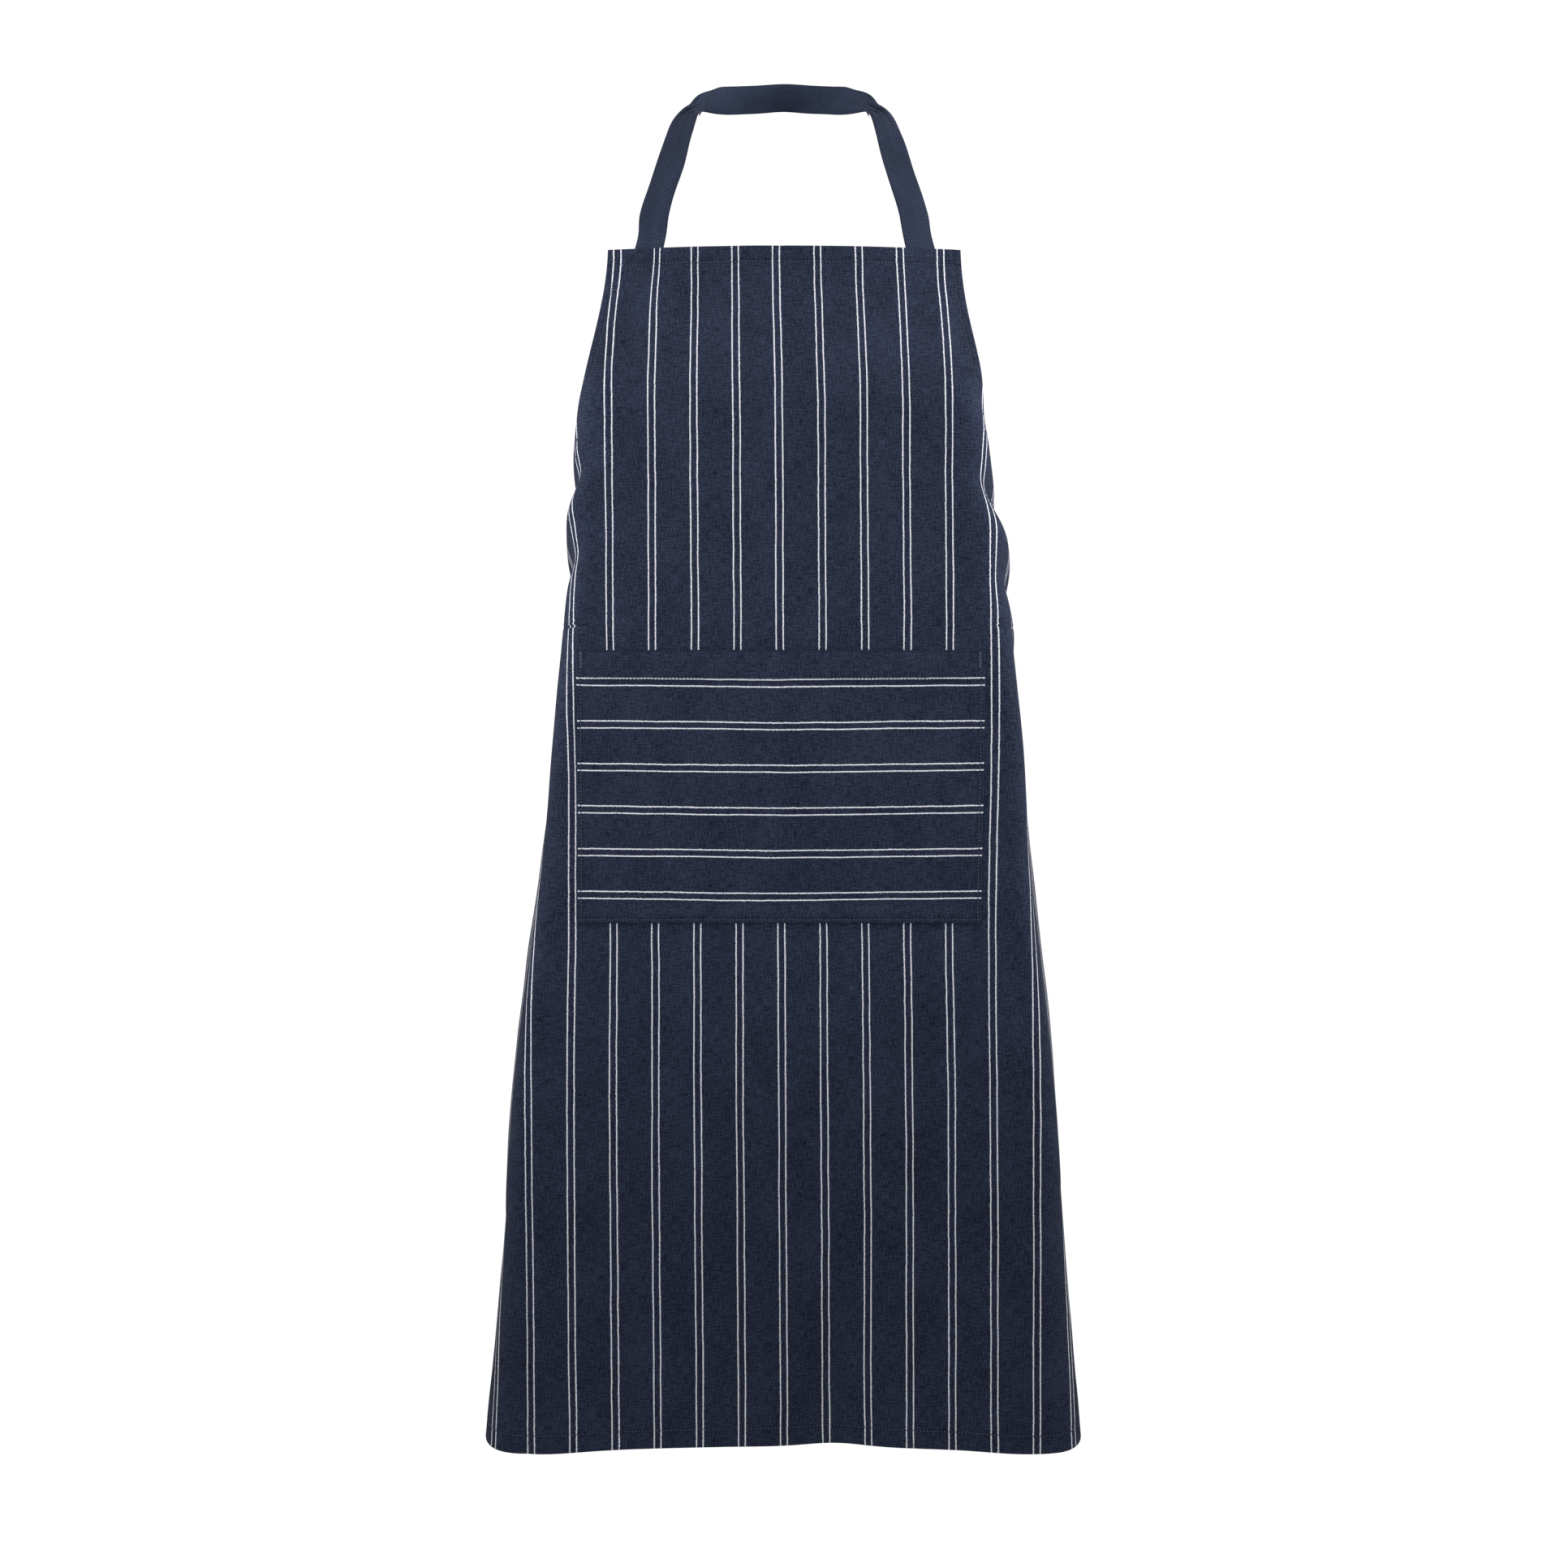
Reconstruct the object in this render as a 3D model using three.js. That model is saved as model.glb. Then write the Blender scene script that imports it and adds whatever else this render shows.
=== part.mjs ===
// A butcher's bib apron as it hangs on its wearer: one striped cotton panel with turned hems, a wide patch
// pocket, a neck strap and two waist ties of herringbone tape, the ties knotted in a bow behind the waist.
// Millimetres, +Z up, +X to the onlooker's right, the front of the apron towards -Y.
// The origin is the middle of the neck strap's lower edge, where it rests on the back of the neck.
import * as THREE from "three";

// Cloth panel, measured on the flat cloth
const APRON_LENGTH = 893; // bib edge to bottom hem
const SKIRT_WIDTH = 700;
const BIB_WIDTH = 272; // at the top edge
const ARMHOLE_DEPTH = 285; // bib edge down to the corner where the ties are sewn
const ARMHOLE_UPPER = { out: 4, share: 0.56 }; // the cut curve's two handles: out from the bib's corner,
const ARMHOLE_LOWER = { out: 64, share: 0.88 }; // and down as a share of the armhole's depth
const TOP_HEM = 13;
const SIDE_HEM = 7; // down the armholes and the sides
const BOTTOM_HEM = 14.5;
const HEM_SEAM_INSET = 1; // stitching to the hem's inner edge
const CLOTH = 0.8; // one layer
const HEM_THICKNESS = 2; // three layers, pressed

// How the panel hangs round its wearer
const NECK_TO_BIB = 127; // neck rest down to the bib's top edge
const NECK_TO_FRONT = 195; // neck rest forward to the flat front of the panel
const BIB_LEAN = 37; // how far the top edge lies behind that front
const BIB_TURN = 20; // degrees the top corners turn back
const WAIST_OUTLINE = 166; // half the width seen from the front, at the tie corners
const HEM_OUTLINE = 225; // and at the bottom hem
const WAIST_CORNER = 24; // cloth taken by the turn from the front to the side
const HEM_CORNER = 60;
const WAIST_TUCK = 35; // degrees the sides curl in towards the back
const HEM_TUCK = 8;
const SKIRT_LEAN = 26; // how far the bottom hem falls back from the flat front
const SKIRT_DISH = 16; // how far the hem sinks in between the legs
const CORNER_REACH = 0.64; // share of a corner's cloth that still reaches sideways

// Where those turns begin and end, as shares of the armhole's depth and of the skirt's length below it
const LEAN_ENDS = 0.45;
const TURN_ENDS = 0.5;
const CORNER_STARTS = 0.25;
const CORNER_SET = 0.6;
const FLARE_STARTS = 0.4;

// Patch pocket
const POCKET_WIDTH = 300;
const POCKET_HEIGHT = 200;
const POCKET_DROP = 302; // bib edge to pocket mouth
const POCKET_SHIFT = -4; // middle of the pocket from the middle of the panel
const POCKET_SAG = 10; // how far the mouth stands open
const POCKET_ALLOWANCE = 10; // cloth turned under at the sides and the bottom
const POCKET_MOUTH_HEM = 22;
const POCKET_SEAM_INSET = 2.5;
const BARTACK_LENGTH = 12;

// Herringbone tape of the neck strap and the ties
const TAPE_WIDTH = 22;
const TAPE = 1.4; // thickness
const STRAP_SPACING = 206; // between the middles of the strap's two ends
const STRAP_TUCKED = 20; // strap caught behind the top hem
const STRAP_TACKED = 0.8; // share of that length down to the bar of stitches
const STRAP_LEAN = 15; // degrees each leg leans in towards the neck
const TIE_TUCKED = 24; // tie caught behind the side hem
const KNOT_BEHIND = 42; // the bow's knot behind the neck rest
const KNOT_DROP = 304; // bib edge down to the middle of the knot
const KNOT_WIDTH = 24; // across its round face
const KNOT_DEPTH = 15;
const KNOT_ROUNDING = 2;
const KNOT_GATHER = 0.5; // share of the tape's width that is left where it enters the knot
const LOOP_REACH = 88; // each loop of the bow, out from the knot
const LOOP_DROOP = 22;
const LOOP_OPEN = 15; // between the loop's two runs of tape
const LOOP_BEHIND = 3; // front run behind the knot's middle, clear of the hanging tails
const TAIL_LENGTH = 330;
const TAIL_SWAY = 5;

// Sewing thread, drawn as a low ridge along each row of stitches
const THREAD_WIDTH = 1;
const THREAD_HEIGHT = 0.5;

const TOUCH = 0.3; // gap between pieces that touch
const THREAD_TOUCH = 0.7; // gap under a row of stitches, which crosses bent cloth
const SEAT = 0.95; // gap behind cloth that curves across a flat tape
const STEP = 2; // length of the steps that follow the curved cloth

const COTTON = { color: 0x252b3b, roughness: 0.9, metalness: 0 };
const HERRINGBONE = { color: 0x1f2b45, roughness: 0.8, metalness: 0 };
const THREAD = { color: 0x2a3348, roughness: 0.7, metalness: 0 };

const apron = new THREE.Group();

const degrees = THREE.MathUtils.degToRad;
const ease = (from, to, value) => THREE.MathUtils.smoothstep(value, from, to);
const vec = (x, y, z) => new THREE.Vector3(x, y, z);

// ---------------------------------------------------------------- closed solids

function addPiece(name, positions, finish) {
  let volume = 0;
  for (let i = 0; i < positions.length; i += 3) {
    volume += positions[i].dot(vec(0, 0, 0).crossVectors(positions[i + 1], positions[i + 2]));
  }
  if (volume < 0) {
    positions.reverse();
  }
  const geometry = new THREE.BufferGeometry().setFromPoints(positions);
  geometry.computeVertexNormals();
  const mesh = new THREE.Mesh(geometry, new THREE.MeshStandardMaterial(finish));
  mesh.name = name;
  apron.add(mesh);
}

// Joins two grids of points, one for each face of a sheet, all round their edges.
function addSheet(name, front, back, finish) {
  const positions = [];
  const quad = (a, b, c, d) => positions.push(a, b, c, a, c, d);
  const rows = front.length - 1;
  const columns = front[0].length - 1;
  for (let r = 0; r < rows; r++) {
    for (let c = 0; c < columns; c++) {
      quad(front[r][c], front[r + 1][c], front[r + 1][c + 1], front[r][c + 1]);
      quad(back[r][c], back[r][c + 1], back[r + 1][c + 1], back[r + 1][c]);
    }
    quad(front[r][0], back[r][0], back[r + 1][0], front[r + 1][0]);
    quad(front[r][columns], front[r + 1][columns], back[r + 1][columns], back[r][columns]);
  }
  for (let c = 0; c < columns; c++) {
    quad(front[0][c], front[0][c + 1], back[0][c + 1], back[0][c]);
    quad(front[rows][c], back[rows][c], back[rows][c + 1], front[rows][c + 1]);
  }
  addPiece(name, positions, finish);
}

// Joins rings of four points into a bar with flat ends.
function addBar(name, rings, finish) {
  const positions = [];
  const quad = (a, b, c, d) => positions.push(a, b, c, a, c, d);
  for (let i = 0; i + 1 < rings.length; i++) {
    for (let k = 0; k < 4; k++) {
      const next = (k + 1) % 4;
      quad(rings[i][k], rings[i + 1][k], rings[i + 1][next], rings[i][next]);
    }
  }
  const last = rings[rings.length - 1];
  quad(...rings[0]);
  quad(last[3], last[2], last[1], last[0]);
  addPiece(name, positions, finish);
}

// A length of tape along a curve. Each station is its middle, the direction its width runs in and, where
// the tape is gathered, the share of its width that is left.
function addTape(name, stations, steps) {
  const path = new THREE.CatmullRomCurve3(stations.map((s) => s.middle), false, "centripetal");
  const widths = new THREE.CatmullRomCurve3(stations.map((s) => s.across), false, "centripetal");
  const rings = [];
  for (let i = 0; i <= steps; i++) {
    const middle = path.getPoint(i / steps);
    const along = path.getTangent(i / steps);
    const place = (i / steps) * (stations.length - 1);
    const before = stations[Math.floor(place)];
    const after = stations[Math.ceil(place)];
    const left = THREE.MathUtils.lerp(before.left ?? 1, after.left ?? 1, place % 1);
    const across = widths.getPoint(i / steps);
    across.addScaledVector(along, -across.dot(along)).setLength((left * TAPE_WIDTH) / 2);
    const through = vec(0, 0, 0).crossVectors(along, across).setLength(TAPE / 2);
    rings.push([
      middle.clone().add(across).add(through),
      middle.clone().sub(across).add(through),
      middle.clone().sub(across).sub(through),
      middle.clone().add(across).sub(through),
    ]);
  }
  addBar(name, rings, HERRINGBONE);
}

// A row of stitches. Each station is a point on the cloth and the direction out of the cloth there.
function addThread(name, stations, width = THREAD_WIDTH) {
  const rings = stations.map((station, i) => {
    const before = stations[Math.max(i - 1, 0)].point;
    const after = stations[Math.min(i + 1, stations.length - 1)].point;
    const arriving = station.point.clone().sub(before).normalize();
    const leaving = after.clone().sub(station.point).normalize();
    const along = arriving.clone().add(leaving).normalize();
    const mitre = i === 0 || i === stations.length - 1 ? 1 : 1 / along.dot(leaving);
    const across = vec(0, 0, 0)
      .crossVectors(along, station.out)
      .setLength((mitre * width) / 2);
    const low = station.point.clone().addScaledVector(station.out, THREAD_TOUCH);
    const high = low.clone().addScaledVector(station.out, THREAD_HEIGHT);
    return [
      low.clone().add(across),
      low.clone().sub(across),
      high.clone().sub(across),
      high.clone().add(across),
    ];
  });
  addBar(name, rings, THREAD);
}

// ---------------------------------------------------------------- the drape of the panel

const onArmhole = ({ out, share }) => new THREE.Vector2(BIB_WIDTH / 2 + out, ARMHOLE_DEPTH * share);
const armhole = new THREE.CubicBezierCurve(
  onArmhole({ out: 0, share: 0 }),
  onArmhole(ARMHOLE_UPPER),
  onArmhole(ARMHOLE_LOWER),
  new THREE.Vector2(SKIRT_WIDTH / 2, ARMHOLE_DEPTH),
);

// Half the flat width of the panel at a distance down from its top edge, and how fast it widens there.
function cutEdge(down) {
  if (down >= ARMHOLE_DEPTH) {
    return { half: SKIRT_WIDTH / 2, widening: 0 };
  }
  let low = 0;
  let high = 1;
  while (high - low > 1e-6) {
    const middle = (low + high) / 2;
    if (armhole.getPoint(middle).y < down) {
      low = middle;
    } else {
      high = middle;
    }
  }
  const slope = armhole.getTangent(low);
  return { half: armhole.getPoint(low).x, widening: slope.x / slope.y };
}

// The cross-section at a distance down: where the flat front ends, and the cloth that the turn takes.
function section(down) {
  const share = down / ARMHOLE_DEPTH;
  const run = (down - ARMHOLE_DEPTH) / (APRON_LENGTH - ARMHOLE_DEPTH);
  const flare = ease(FLARE_STARTS, 1, run);
  const outline = WAIST_OUTLINE + (HEM_OUTLINE - WAIST_OUTLINE) * run;
  const corner = WAIST_CORNER + (HEM_CORNER - WAIST_CORNER) * flare;
  const lean = BIB_LEAN * (1 - ease(0, LEAN_ENDS, share));
  return {
    flat: outline - CORNER_REACH * corner * ease(CORNER_STARTS, CORNER_SET, share),
    corner,
    turn: (BIB_TURN * (1 - ease(0, TURN_ENDS, share))) / (BIB_WIDTH / 2),
    tuck: WAIST_TUCK + (HEM_TUCK - WAIST_TUCK) * ease(0, 1, run),
    depth: lean + SKIRT_LEAN * flare - NECK_TO_FRONT,
    dish: SKIRT_DISH * flare,
  };
}

// Where a point of the flat cloth hangs: out is its distance from the centre line, down from the top edge.
function hang(out, down) {
  const { flat, corner, turn, tuck, depth, dish } = section(down);
  const distance = Math.abs(out);
  const steps = Math.max(1, Math.ceil(distance / STEP));
  const side = SKIRT_WIDTH / 2 - flat - corner;
  let x = 0;
  let y = depth;
  for (let i = 0; i < steps; i++) {
    const here = ((i + 0.5) * distance) / steps;
    const rounded = 90 * ease(0, 1, (here - flat) / corner);
    const curled = tuck * ease(0, 1, (here - flat - corner) / side);
    const angle = turn * here + rounded + curled;
    x += (Math.cos(degrees(angle)) * distance) / steps;
    y += (Math.sin(degrees(angle)) * distance) / steps;
  }
  y += (dish * (1 + Math.cos(Math.PI * Math.min(1, distance / flat)))) / 2;
  return vec(Math.sign(out) * x, y, -NECK_TO_BIB - down);
}

// The direction into the body, square to the cloth.
function inward(out, down) {
  const side = hang(out + 1, down).sub(hang(out - 1, down));
  const fall = hang(out, down + 1).sub(hang(out, down - 1));
  return side.cross(fall).normalize();
}

// ---------------------------------------------------------------- apron_panel

// Rows from top to bottom. The first two and the last two bound the turned hems.
const rowDrops = [0, TOP_HEM - HEM_SEAM_INSET, TOP_HEM];
const BIB_ROWS = 14;
for (let i = 1; i <= BIB_ROWS; i++) {
  const share = Math.sin((i / BIB_ROWS) * (Math.PI / 2));
  rowDrops.push(TOP_HEM + (ARMHOLE_DEPTH - TOP_HEM) * share);
}
const ARMHOLE_ROW = rowDrops.length - 1;
const SKIRT_ROWS = 11;
const skirtTop = ARMHOLE_DEPTH + 2 * SIDE_HEM;
const skirtEnd = APRON_LENGTH - BOTTOM_HEM;
for (let i = 0; i <= SKIRT_ROWS; i++) {
  rowDrops.push(skirtTop + ((skirtEnd - skirtTop) * i) / SKIRT_ROWS);
}
rowDrops.push(skirtEnd + HEM_SEAM_INSET, APRON_LENGTH);
const LAST_ROW = rowDrops.length - 1;

// Distances out from the centre line to each column of one half, at a distance down.
const FRONT_COLUMNS = 5;
const TURN_COLUMNS = 5;
const SIDE_COLUMNS = 5;
const HEM_COLUMNS = 3;
const HEM_COLUMN = FRONT_COLUMNS + TURN_COLUMNS + SIDE_COLUMNS;
const NARROW_FRONT = 0.7; // where the turn's columns fall on the narrow bib, as shares of its width
const NARROW_TURN = 0.85;
function columnsAt(down) {
  const { half, widening } = cutEdge(down);
  const { flat, corner } = section(down);
  const hemInside = half - SIDE_HEM * Math.hypot(1, widening);
  const turnStart = Math.min(flat, NARROW_FRONT * hemInside);
  const turnEnd = Math.min(flat + corner, NARROW_TURN * hemInside);
  const stops = [];
  const divide = (from, to, count) => {
    for (let i = 0; i < count; i++) {
      stops.push(from + ((to - from) * i) / count);
    }
  };
  divide(0, turnStart, FRONT_COLUMNS);
  divide(turnStart, turnEnd, TURN_COLUMNS);
  divide(turnEnd, hemInside, SIDE_COLUMNS);
  stops.push(hemInside);
  divide(hemInside + HEM_SEAM_INSET, half, HEM_COLUMNS);
  stops.push(half);
  return stops;
}

const panelFront = [];
const panelBack = [];
const panelOut = [];
rowDrops.forEach((down, r) => {
  const half = columnsAt(down);
  const stops = [...half.slice(1).reverse().map((stop) => -stop), ...half];
  const middle = half.length - 1;
  const inHemRows = r < 2 || r > LAST_ROW - 2;
  const directions = stops.map((stop) => inward(stop, down));
  panelFront.push(stops.map((stop) => hang(stop, down)));
  panelBack.push(
    stops.map((stop, c) => {
      const inHem = inHemRows || Math.abs(c - middle) > HEM_COLUMN;
      return hang(stop, down).addScaledVector(directions[c], inHem ? HEM_THICKNESS : CLOTH);
    }),
  );
  panelOut.push(directions.map((direction) => direction.clone().negate()));
});
addSheet("apron_panel", panelFront, panelBack, COTTON);

// ---------------------------------------------------------------- hem stitching

const CENTRE_COLUMN = HEM_COLUMN + HEM_COLUMNS + 1;
const LAST_COLUMN = 2 * CENTRE_COLUMN;
const END_ROWS = 2.1; // rows left free at the top and the bottom by the stitching down the sides
const CORNER_ROWS = 0.6; // and below the corner where the ties are sewn

// A place on the panel's front between two rows, at one column.
function onPanel(row, column) {
  const above = Math.min(Math.floor(row), LAST_ROW - 1);
  const share = row - above;
  return {
    point: panelFront[above][column].clone().lerp(panelFront[above + 1][column], share),
    out: panelOut[above][column].clone().lerp(panelOut[above + 1][column], share).normalize(),
  };
}

const rowsBetween = (from, to) => {
  const rows = [from];
  for (let r = Math.floor(from) + 1; r < to; r++) {
    rows.push(r);
  }
  return [...rows, to];
};
const allColumns = Array.from({ length: LAST_COLUMN - 1 }, (_, i) => i + 1);

addThread("top_hem_thread", allColumns.map((c) => onPanel(1, c)));
addThread("bottom_hem_thread", allColumns.map((c) => onPanel(LAST_ROW - 1, c)));
for (const [side, column] of [
  ["left", CENTRE_COLUMN - HEM_COLUMN],
  ["right", CENTRE_COLUMN + HEM_COLUMN],
]) {
  const armholeRows = rowsBetween(END_ROWS, ARMHOLE_ROW - 1);
  const sideRows = rowsBetween(ARMHOLE_ROW + CORNER_ROWS, LAST_ROW - END_ROWS);
  addThread(`armhole_thread_${side}`, armholeRows.map((row) => onPanel(row, column)));
  addThread(`side_hem_thread_${side}`, sideRows.map((row) => onPanel(row, column)));
}

// ---------------------------------------------------------------- patch pocket

const pocketPlane = section(POCKET_DROP).depth - TOUCH;
const pocketTop = -NECK_TO_BIB - POCKET_DROP;

// How far the pocket stands off the panel at a point of its flat cloth.
function pocketSag(across, down) {
  const open = POCKET_WIDTH / 2 - POCKET_ALLOWANCE;
  const deep = POCKET_HEIGHT - POCKET_ALLOWANCE;
  const sideways = Math.max(0, 1 - (across / open) ** 2);
  const downwards = Math.max(0, 1 - (down / deep) ** 2);
  return POCKET_SAG * sideways * downwards;
}

const halfPocket = POCKET_WIDTH / 2;
const pocketColumns = [-halfPocket, -halfPocket + POCKET_SEAM_INSET, -halfPocket + POCKET_ALLOWANCE];
const POCKET_SPANS = 10;
for (let i = 0; i <= POCKET_SPANS; i++) {
  const inner = halfPocket - POCKET_ALLOWANCE - 1;
  pocketColumns.push(-inner + (2 * inner * i) / POCKET_SPANS);
}
pocketColumns.push(halfPocket - POCKET_ALLOWANCE, halfPocket - POCKET_SEAM_INSET, halfPocket);
const pocketRows = [0, BARTACK_LENGTH, POCKET_MOUTH_HEM - 1, POCKET_MOUTH_HEM];
const POCKET_DROPS = 6;
for (let i = 1; i <= POCKET_DROPS; i++) {
  const deep = POCKET_HEIGHT - POCKET_ALLOWANCE - 1;
  pocketRows.push(POCKET_MOUTH_HEM + ((deep - POCKET_MOUTH_HEM) * i) / POCKET_DROPS);
}
pocketRows.push(POCKET_HEIGHT - POCKET_ALLOWANCE, POCKET_HEIGHT - POCKET_SEAM_INSET, POCKET_HEIGHT);

const pocketBack = pocketRows.map((down) =>
  pocketColumns.map((across) => {
    const forward = pocketPlane - pocketSag(across, down);
    return vec(POCKET_SHIFT + across, forward, pocketTop - down);
  }),
);
const pocketFront = pocketRows.map((down, r) =>
  pocketColumns.map((across, c) => {
    const turned = c < 3 || c > pocketColumns.length - 4 || r > pocketRows.length - 4;
    const thickness = r < 3 ? HEM_THICKNESS : turned ? 2 * CLOTH : CLOTH;
    return pocketBack[r][c].clone().add(vec(0, -thickness, 0));
  }),
);
addSheet("pocket_panel", pocketFront, pocketBack, COTTON);

const forward = vec(0, -1, 0);
const onPocket = (row, column) => ({ point: pocketFront[row][column], out: forward });
const lastPocketRow = pocketRows.length - 1;
const lastPocketColumn = pocketColumns.length - 1;
const pocketSeam = [];
for (let r = 2; r < lastPocketRow; r++) {
  pocketSeam.push(onPocket(r, 1));
}
for (let c = 2; c < lastPocketColumn - 1; c++) {
  pocketSeam.push(onPocket(lastPocketRow - 1, c));
}
for (let r = lastPocketRow - 1; r > 1; r--) {
  pocketSeam.push(onPocket(r, lastPocketColumn - 1));
}
addThread("pocket_seam_thread", pocketSeam);

const mouthSeam = [];
for (let c = 3; c < lastPocketColumn - 2; c++) {
  mouthSeam.push(onPocket(2, c));
}
addThread("pocket_mouth_thread", mouthSeam);
for (const [name, column] of [
  ["left", 1],
  ["right", lastPocketColumn - 1],
]) {
  addThread(`pocket_bartack_${name}`, [onPocket(0, column), onPocket(1, column)], 2 * THREAD_WIDTH);
}

// ---------------------------------------------------------------- neck strap

// Tape lying behind a hem, out and down on the flat cloth. Its width runs along a slant on the cloth.
function behindHem(out, down, slant) {
  const reach = slant.clone().multiplyScalar(TAPE_WIDTH / 2);
  const high = hang(out + reach.x, down + reach.y);
  const low = hang(out - reach.x, down - reach.y);
  const middle = high.clone().add(low).divideScalar(2);
  middle.addScaledVector(inward(out, down), HEM_THICKNESS + SEAT + TAPE / 2);
  return { middle, across: high.sub(low).normalize() };
}

// The direction of the strap's width on the flat cloth.
function strapSlant(side) {
  const lean = degrees(STRAP_LEAN);
  return new THREE.Vector2(side * Math.cos(lean), -Math.sin(lean));
}

// One leg of the strap, from its tucked end to the side of the neck. Above the hem each station is a share
// of the way out to the end, forward to the panel and down to the bib; the tape turns on edge as it climbs.
function strapLeg(side) {
  const out = (side * STRAP_SPACING) / 2;
  const lean = degrees(STRAP_LEAN);
  const slant = strapSlant(side);
  const above = (outwards, forwards, downwards, across) => ({
    middle: vec(outwards * out, -forwards * NECK_TO_FRONT, -downwards * NECK_TO_BIB),
    across: vec(side * across[0], across[1], across[2]),
  });
  return [
    behindHem(out + side * STRAP_TUCKED * Math.tan(lean), STRAP_TUCKED, slant),
    behindHem(out, 1, slant),
    behindHem(out - (side * STRAP_TUCKED * Math.tan(lean)) / 2, -STRAP_TUCKED / 2, slant),
    above(0.81, 0.5, 0.32, [0.93, 0.25, 0.26]),
    above(0.73, 0.39, 0.11, [0.82, 0.1, 0.56]),
    above(0.65, 0.236, -0.008, [0.5, -0.1, 0.86]),
    above(0.473, 0.072, -0.071, [0.15, 0, 0.98]),
  ];
}
const neckRest = { middle: vec(0, TAPE / 2, TAPE_WIDTH / 2), across: vec(0, 0, 1) };
addTape("neck_strap", [...strapLeg(-1), neckRest, ...strapLeg(1).reverse()], 64);

// ---------------------------------------------------------------- waist ties and their bow

const tieDrop = ARMHOLE_DEPTH + TAPE_WIDTH / 2 + 2;
const knotMiddle = vec(0, KNOT_BEHIND, -NECK_TO_BIB - KNOT_DROP);
const knotSide = KNOT_WIDTH / 2 + 2 * TOUCH;
const TIE_STATIONS = [0.25, 0.5, 0.8]; // shares of each tie's run from the panel to the knot
const up = vec(0, 0, 1);
const upright = new THREE.Vector2(0, -1);

function waistTie(side) {
  const edge = (side * SKIRT_WIDTH) / 2;
  const stations = [
    behindHem(edge - side * TIE_TUCKED, tieDrop, upright),
    behindHem(edge - side * 2, tieDrop, upright),
  ];
  const leaving = stations[1].middle.clone().sub(stations[0].middle).normalize();
  const start = stations[1].middle;
  const end = knotMiddle.clone().add(vec(side * knotSide, -0.4 * KNOT_DEPTH, 0));
  const reach = start.distanceTo(end) / 3;
  const run = new THREE.CubicBezierCurve3(
    start,
    start.clone().addScaledVector(leaving, reach),
    end.clone().add(vec(side * reach, 0, -2)),
    end,
  );
  for (const share of TIE_STATIONS) {
    stations.push({ middle: run.getPoint(share), across: up });
  }
  stations.push({ middle: end, across: up, left: 1.4 * KNOT_GATHER });
  return stations;
}

// One loop of the bow: out from the knot, round and back behind itself, drooping a little. Each station is
// a share of the way out, of the way from its front run to its back run, and of the way down.
function bowLoop(side) {
  const root = knotSide / LOOP_REACH;
  const at = (outwards, backwards, downwards, left = 1) => ({
    middle: knotMiddle
      .clone()
      .add(vec(side * outwards * LOOP_REACH, LOOP_BEHIND + backwards * LOOP_OPEN, -downwards * LOOP_DROOP)),
    across: vec(0.2 * side, 0, 0.98),
    left,
  });
  return [
    at(root, 0, 0, KNOT_GATHER),
    at(0.5, 0, 0.35),
    at(0.88, 0.15, 0.85),
    at(1, 0.55, 1),
    at(0.88, 1, 0.9),
    at(0.5, 0.88, 0.45),
    at(root, 0.2, 0.05, KNOT_GATHER),
  ];
}

// One loose end of a tie. It hangs from the foot of the knot, its weight straight below it, and swings in
// its own layer between the ties and the loops.
const TAIL_SPANS = 8;
function tieTail(side) {
  const layer = side > 0 ? -0.2 : -0.03;
  const top = knotMiddle.clone().add(vec(0, layer * KNOT_DEPTH, -KNOT_WIDTH / 2 - TOUCH));
  return Array.from({ length: TAIL_SPANS + 1 }, (_, i) => {
    const share = i / TAIL_SPANS;
    const sway = side * TAIL_SWAY * Math.sin(2 * Math.PI * share);
    const away = TAIL_SWAY * (share - side * Math.sin(Math.PI * share));
    return {
      middle: top.clone().add(vec(sway, away, -TAIL_LENGTH * share)),
      across: vec(1, 0.25 * Math.sin(Math.PI * share), 0),
      left: i === 0 ? KNOT_GATHER : 1,
    };
  });
}

for (const [name, side] of [
  ["left", -1],
  ["right", 1],
]) {
  addTape(`waist_tie_${name}`, waistTie(side), 16);
  addTape(`bow_loop_${name}`, bowLoop(side), 24);
  addTape(`tie_tail_${name}`, tieTail(side), 16);
}

// The knot is one wrap of tape round the crossing, pulled into a small rounded block.
const knotOutline = new THREE.Shape().absarc(0, 0, KNOT_WIDTH / 2 - KNOT_ROUNDING, 0, 2 * Math.PI);
const knotGeometry = new THREE.ExtrudeGeometry(knotOutline, {
  depth: KNOT_DEPTH - 2 * KNOT_ROUNDING,
  curveSegments: 8,
  bevelSize: KNOT_ROUNDING,
  bevelThickness: KNOT_ROUNDING,
  bevelSegments: 2,
});
const knot = new THREE.Mesh(knotGeometry, new THREE.MeshStandardMaterial(HERRINGBONE));
knot.name = "bow_knot";
knot.rotation.x = Math.PI / 2;
knot.position.copy(knotMiddle).add(vec(0, KNOT_DEPTH / 2 - KNOT_ROUNDING, 0));
apron.add(knot);

// ---------------------------------------------------------------- tacks that hold the tape ends

// A bar of stitches across a tape on its body side, at the place behind a hem where the tape lies.
function addTack(name, out, down, slant) {
  const { middle, across } = behindHem(out, down, slant);
  const direction = inward(out, down);
  const reach = TAPE_WIDTH / 2 - 2;
  const end = (sign) => ({
    point: middle.clone().addScaledVector(direction, TAPE / 2 - TOUCH).addScaledVector(across, sign * reach),
    out: direction,
  });
  addThread(name, [end(-1), end(1)], 2 * THREAD_WIDTH);
}

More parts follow.
